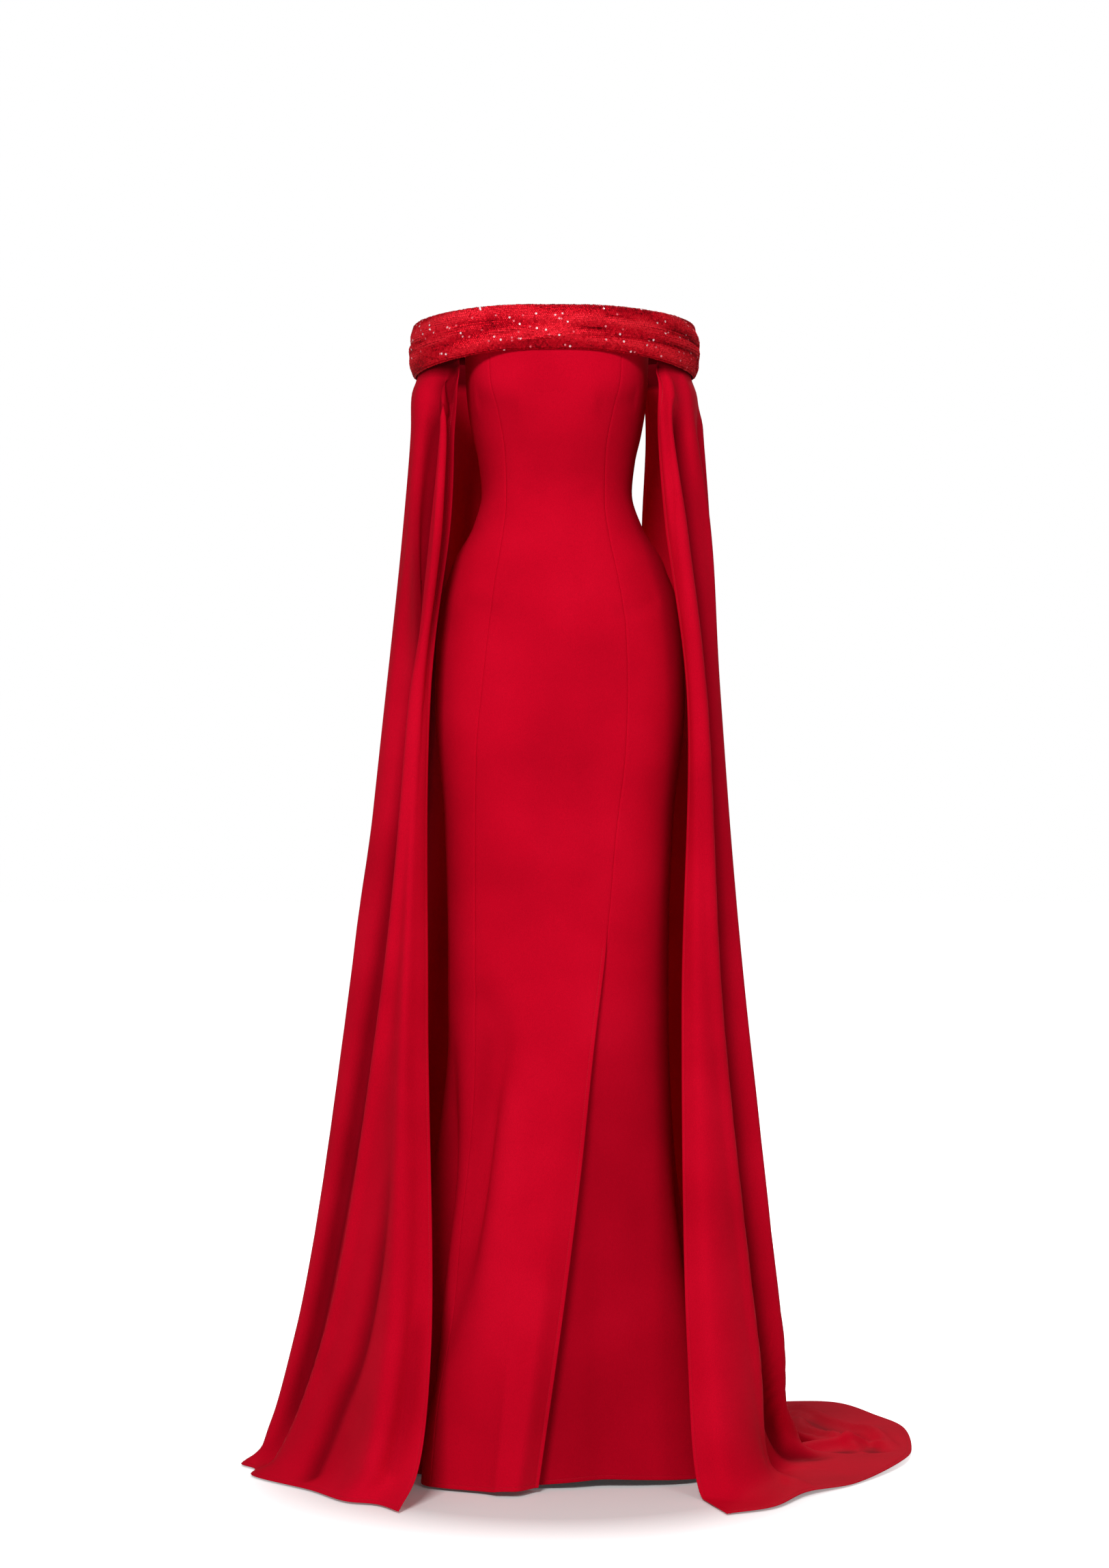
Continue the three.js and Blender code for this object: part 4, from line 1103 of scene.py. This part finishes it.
def sequin_film_material():
    """Metallised polyester film, dyed red. The tone of each sequin is an attribute of its own, which holds a
    random tone, painted shade and light from the gathers and a few painted glints.
    """
    material, tree = new_material("sequin_film")
    tone = add_node(tree, "ShaderNodeAttribute", attribute_name="sequin_tone_shade_glint").outputs["Fac"]
    # From dark to light red for the painted shade and light, then near-white for the painted glints.
    stops = ((0.0, "#70030e"), (0.4, "#c4081c"), (RED_TONES, "#ec2232"), (0.93, "#f0707c"), (0.97, "#ffd9dc"))
    values = {"Metallic": 0.3, "Roughness": 0.36, "Specular IOR Level": 0.3, "Specular Tint": "#ff5058"}
    set_surface(tree, values, colour_ramp(tree, tone, *stops))
    return material


base_cloth = base_cloth_material()
sequin_film = sequin_film_material()
print("sequin film and its base cloth")


# %% Sew the band
BAND_HALVES = {"band_front": (-90, 90), "band_back": (90, 270)}
BAND_COLUMNS, BAND_ROWS = 230, 30
# The back half's base cloth is seen only from inside, where hardly any light falls on it, and that shade is
# painted into its colour.
BACK_BAND_SHADE = 1.0
halves = {}

for node, (start, end) in BAND_HALVES.items():

    def surface(across, down, start=math.radians(start), end=math.radians(end)):
        return band_surface(mix(start, end, across), 1 - down)

    laid = laid_out(surface, BAND_COLUMNS, BAND_ROWS, "plain", "plain", "plain", "plain")
    shade = BACK_BAND_SHADE if node == "band_back" else 0
    halves[node] = sheet_mesh(node + "_cloth", laid["points"], np.full(laid["points"].shape[:2], shade))
    give_thickness(halves[node])
    dress(halves[node], node, base_cloth)


# %% Scatter the sequins in rows
SEQUIN_ACROSS, SEQUIN_CUP, SEQUIN_FILM, SEQUIN_SIDES = 3.0, 0.35, 0.12, 7
SEQUIN_PITCH, SEQUIN_ROW = 2.55, 2.2
SEQUIN_LEAN, SEQUIN_SCATTER, SEQUIN_OFF = 9, 6, 0.55
STRAY_ALONG, STRAY_ACROSS, SHARE_MARGIN, RING_PLACES = 0.22, 0.2, 0.004, 2000
SEQUIN_TURN_STEP, SEQUIN_SHARE_STEP = 0.004, 0.01
# Painted light and shade: a sequin on a ridge of the gathers is painted lighter than one in a valley, and
# more of the ridge's sequins get a painted glint.
GATHER_HEIGHT, PAINTED_VALLEY_SHADE, PAINTED_RIDGE_LIGHT, TONE_SPREAD = 4.5, 0.04, 0.82, 0.1
VALLEY_PAINTED_GLINTS, RIDGE_PAINTED_GLINTS = 0.006, 0.02
chance = np.random.default_rng(7)


def sequin_shape():
    """One cupped disc as its points and faces: a shallow cone above and a flat one below."""
    disc = bmesh.new()
    radius = SEQUIN_ACROSS / 2
    bmesh.ops.create_circle(disc, cap_ends=True, cap_tris=True, segments=SEQUIN_SIDES, radius=radius)
    bmesh.ops.solidify(disc, geom=disc.faces[:], thickness=SEQUIN_FILM)
    bmesh.ops.recalc_face_normals(disc, faces=disc.faces[:])
    for vertex in disc.verts:
        vertex.co.z -= SEQUIN_CUP * (1 - (vertex.co.xy.length / radius) ** 2)
    return shape_of(disc)


def sequin_places(start, end):
    """Turns and shares of a half band's sequins: staggered rows with an even pitch along the cloth."""
    fine = np.linspace(math.radians(start), math.radians(end), RING_PLACES)
    ring = band_middle(fine, 0 * fine + 0.5)
    along = lengths_along(ring)
    turns, shares = [], []
    row_count = round(BAND_HEIGHT / SEQUIN_ROW)
    for row in range(row_count):
        places = np.arange((row % 2) * SEQUIN_PITCH / 2 + SEQUIN_PITCH / 4, along[-1], SEQUIN_PITCH)
        places = places + chance.normal(0, STRAY_ALONG, len(places))
        turns.append(np.interp(places, along, fine))
        shares.append((row + 0.5) / row_count + chance.normal(0, STRAY_ACROSS, len(places)) / BAND_HEIGHT)
    return np.concatenate(turns), np.clip(np.concatenate(shares), SHARE_MARGIN, 1 - SHARE_MARGIN)


def scatter_sequins(name, start, end):
    turns, shares = sequin_places(start, end)
    shape, faces = sequin_shape()
    count = len(turns)
    step = SEQUIN_TURN_STEP
    out = way_out(lambda t, d: band_surface(t, 1 - d), turns, 1 - shares, step, SEQUIN_SHARE_STEP)
    along = unit(band_surface(turns + step, shares) - band_surface(turns - step, shares))
    lean = np.radians(SEQUIN_LEAN + chance.normal(0, SEQUIN_SCATTER, count))[:, None]
    roll = np.radians(chance.normal(0, SEQUIN_SCATTER, count))[:, None]
    up = np.cross(out, along)
    half_lean = np.tan(lean) / 2
    tilted = unit(out + half_lean * along - half_lean * up + np.tan(roll) * up)
    side = unit(along - np.sum(along * tilted, -1, keepdims=True) * tilted)
    across = np.cross(tilted, side)
    centres = band_surface(turns, shares) + out * (SHEET_THICKNESS / 2 + SEQUIN_OFF)
    axes = np.stack([side, across, tilted], 1)
    piece = joined_copies(name, shape, faces, centres, axes, sequin_film, "sequinned_cloth")
    # Painted light and shade: the tone rises with the gathers' height, plus a random spread, and a few
    # sequins take a painted glint.
    raised = np.clip((band_gather(turns, shares) - BAND_DEEPEST) / GATHER_HEIGHT, 0, 1)
    tone = np.clip(PAINTED_VALLEY_SHADE + PAINTED_RIDGE_LIGHT * raised + chance.normal(0, TONE_SPREAD, count), 0, RED_TONES)
    painted_glint = chance.random(count) < VALLEY_PAINTED_GLINTS + RIDGE_PAINTED_GLINTS * raised
    tone = np.where(painted_glint, chance.uniform(*PAINTED_GLINT_TONES, count), tone)
    give_numbers(piece, "sequin_tone_shade_glint", np.repeat(tone, len(shape)))
    return piece


for node, (start, end) in BAND_HALVES.items():
    sequins = scatter_sequins(node + "_sequins", start, end)

# %% [markdown]
# ## The zip
#
# A concealed zip closes the centre back. Its woven tape is sewn inside the seam, so that only the
# slider and its hanging pull tab show. The teeth are one long nylon coil on each side, drawn as rows
# of short bars that reach across the middle in turn. The slider and the tab are cast in zinc and
# enamelled to match: they are copies of the CAD solids with their edges rounded, because a cast edge
# is never sharp and enamel rounds it more.

# %% Zip materials
# A wave texture of scale 1 repeats every pi / 10 units, so this turns a rib's spacing into its scale.
WAVE_REPEAT, RIB_SPACING, ENAMEL_CLOUD = math.pi / 10, 1.2, 4


def tape_material():
    """Woven polyester tape: fine cross ribs, a little over a millimetre apart."""
    material, tree = new_material("woven_zip_tape")
    place = own_place(tree)
    settings = {"bands_direction": "Z", "Scale": WAVE_REPEAT / (RIB_SPACING * MM), "Distortion": 0.4}
    ribs = add_node(tree, "ShaderNodeTexWave", {"Vector": place}, **settings).outputs["Fac"]
    tone = colour_ramp(tree, ribs, (0.2, "#8e0618"), (0.8, "#a80a20"))
    set_surface(tree, {"Roughness": 0.7}, tone, (ribs, 0.3, 0.2))
    return material


def enamel_material():
    """Stoved enamel on cast zinc: glossy, with a faint unevenness in its shine."""
    material, tree = new_material("red_enamel")
    place = own_place(tree)
    cloud = noise(tree, place, ENAMEL_CLOUD)
    tone = colour_ramp(tree, cloud, (0.3, "#9a0a1c"), (0.7, "#b00e22"))
    shine = add_node(tree, "ShaderNodeMapRange", {"Value": cloud}, **{"To Min": 0.22, "To Max": 0.38})
    tree.links.new(shine.outputs["Result"], tree.nodes["Principled BSDF"].inputs["Roughness"])
    set_surface(tree, {"Coat Weight": 0.4}, tone)
    return material


tape_cloth, enamel = tape_material(), enamel_material()
print("tape with ribs", RIB_SPACING, "mm apart, and enamel")

# %% Tape and teeth
ZIP_TOP, ZIP_BOTTOM, TAPE_HALF, TAPE_IN = 1424, 1010, 11, 2.4
TAPE_COLUMNS, TAPE_ROWS = 12, 120
TOOTH_LONG, TOOTH_RADIUS, TOOTH_SIDES, TOOTH_PITCH = 3.0, 0.35, 6, 1.5
TOOTH_PAST_MIDDLE, TEETH_BELOW_TOP = 0.6, 8


def inside_gown(turn, z, inset):
    return gown_point(turn, z) - gown_out(turn, z) * inset


def tape_surface(across, down):
    z = mix(ZIP_TOP, ZIP_BOTTOM, down)
    half = TAPE_HALF / back_at(z)
    return inside_gown(np.pi + mix(-half, half, across), z, TAPE_IN)


laid = laid_out(tape_surface, TAPE_COLUMNS, TAPE_ROWS, "plain", "plain", "plain", "plain")
tape = sheet_mesh("zip_tape_cloth", laid["points"])
give_thickness(tape)
dress(tape, "zip_tape", tape_cloth)

heights = np.arange(ZIP_BOTTOM + TOOTH_PITCH, ZIP_TOP - TEETH_BELOW_TOP, TOOTH_PITCH)
sides = np.where(np.arange(len(heights)) % 2, 1.0, -1.0)
shift = sides * (TOOTH_LONG / 2 - TOOTH_PAST_MIDDLE)
turns = np.pi + shift / back_at(heights)
out = gown_out(turns, heights)
centres = inside_gown(turns, heights, TAPE_IN + SHEET_THICKNESS / 2 + TOOTH_RADIUS)
across = unit(gown_point(turns + TURN_STEP, heights) - gown_point(turns - TURN_STEP, heights))
axes = np.stack([across, np.cross(out, across), out], 1)
tooth = rod(TOOTH_RADIUS, TOOTH_LONG, TOOTH_SIDES)
teeth = joined_copies("zip_teeth", *tooth, centres, axes, thread, "zip_tape_cloth")

# %% Slider and pull tab
FLAT_ANGLE, SHARP_ANGLE, SAME_PLACE = math.radians(3), math.radians(40), 0.001


def cast_copy(name, node, body, rounding):
    """A CAD node's solid with its loose triangles joined and its sharp edges rounded."""
    metal = bmesh.new()
    metal.from_mesh(bpy.data.objects[node].data)
    bmesh.ops.remove_doubles(metal, verts=metal.verts, dist=SAME_PLACE * MM)
    bmesh.ops.dissolve_limit(metal, angle_limit=FLAT_ANGLE, verts=metal.verts, edges=metal.edges)
    sharp = [edge for edge in metal.edges if edge.is_manifold and edge.calc_face_angle() > SHARP_ANGLE]
    bmesh.ops.bevel(
        metal,
        geom=sharp,
        offset=rounding * MM,
        offset_type="OFFSET",
        affect="EDGES",
        segments=2,
        profile=0.5,
        clamp_overlap=True,
        material=-1,
    )
    for face in metal.faces:
        face.smooth = True
    dress(object_from(metal, name), node, enamel, body)


cast_copy("cast_slider", "zip_slider", "gown", 0.18)
cast_copy("cast_pull_tab", "zip_pull_tab", "pull_tab", 0.16)

# %% [markdown]
# ## Floor and light
#
# A white studio: a large plain floor under a white surround, a strong soft light from the upper left of
# the front, a weak one from its right, a broad one overhead and one behind for the back of the gown.
# The floor has painted light too: away from the gown it glows white for the camera.

# %% Floor
FLOOR_SIZE, GLOW_REACH = 40, 3.2


def floor_material():
    """Painted studio floor, with painted light: for the camera it glows, faintly near the gown and up to
    white away from it.
    """
    material, tree = new_material("studio_floor")
    place = own_place(tree)
    plan = add_node(tree, "ShaderNodeVectorMath", {0: place}, operation="MULTIPLY")
    plan.inputs[1].default_value = (1 / GLOW_REACH, 1 / GLOW_REACH, 0)
    away = add_node(tree, "ShaderNodeVectorMath", {0: plan.outputs["Vector"]}, operation="LENGTH")
    # Painted light: seen from the camera the floor glows, faintly near the gown and up to full white away
    # from it.
    rise = colour_ramp(tree, away.outputs["Value"], (0.09, "#303030"), (0.15, "#e4e4e4"), (0.5, "#ffffff"))
    seen = add_node(tree, "ShaderNodeLightPath").outputs["Is Camera Ray"]
    painted_floor_glow = add_node(tree, "ShaderNodeMath", {0: seen, 1: rise}, operation="MULTIPLY")
    tree.links.new(painted_floor_glow.outputs[0], tree.nodes["Principled BSDF"].inputs["Emission Strength"])
    set_surface(tree, {"Base Color": "#f7f7f7", "Roughness": 0.6, "Emission Color": "#ffffff"})
    return material


ground = bmesh.new()
bmesh.ops.create_grid(ground, x_segments=1, y_segments=1, size=FLOOR_SIZE / 2)
bmesh.ops.translate(ground, verts=ground.verts, vec=(0, 0, -MOUNT_HEIGHT * MM))
floor = object_from(ground, "floor")
floor.data.materials.append(floor_material())
print("floor", FLOOR_SIZE, "m wide,", MOUNT_HEIGHT, "mm under the mount")

# %% Light
SURROUND_SEEN, SURROUND_LIGHT = 1.0, 0.14


def studio_world():
    """A surround that looks white but lights the gown only a little, as a distant white wall does."""
    world = bpy.data.worlds.new("studio")
    world.use_nodes = True
    tree = world.node_tree
    seen = add_node(tree, "ShaderNodeLightPath").outputs["Is Camera Ray"]
    ends = {"To Min": SURROUND_LIGHT, "To Max": SURROUND_SEEN}
    strength = add_node(tree, "ShaderNodeMapRange", {"Value": seen}, **ends)
    background = tree.nodes["Background"]
    background.inputs["Color"].default_value = (1, 1, 1, 1)
    tree.links.new(strength.outputs["Result"], background.inputs["Strength"])
    return world


bpy.context.scene.world = studio_world()
bpy.context.scene.view_settings.view_transform = "Standard"


def soft_light(name, place, aim, size, power):
    lamp = new_object(name, bpy.data.lights.new(name, "AREA"))
    lamp.data.shape = "RECTANGLE"
    lamp.data.size, lamp.data.size_y = size
    lamp.data.energy = power
    lamp.location = place
    lamp.rotation_euler = (Vector(aim) - Vector(place)).to_track_quat("-Z", "Y").to_euler()


soft_light("key", (-1.15, -4.3, 2.6), (0, 0, -0.75), (1.6, 1.2), 192)
soft_light("fill", (2.4, -3.4, 1.5), (0, 0, -0.8), (1.2, 1.6), 24)
soft_light("top", (0.2, 0.8, 2.4), (0, 0, -1.4), (4.0, 4.0), 20)
soft_light("back", (0.9, 3.6, 2.4), (0, 0.1, -0.6), (2.0, 2.0), 55)
print("four soft lights and a white surround")

# %% Finish
print("triangles added", sum(triangles_made.values()))
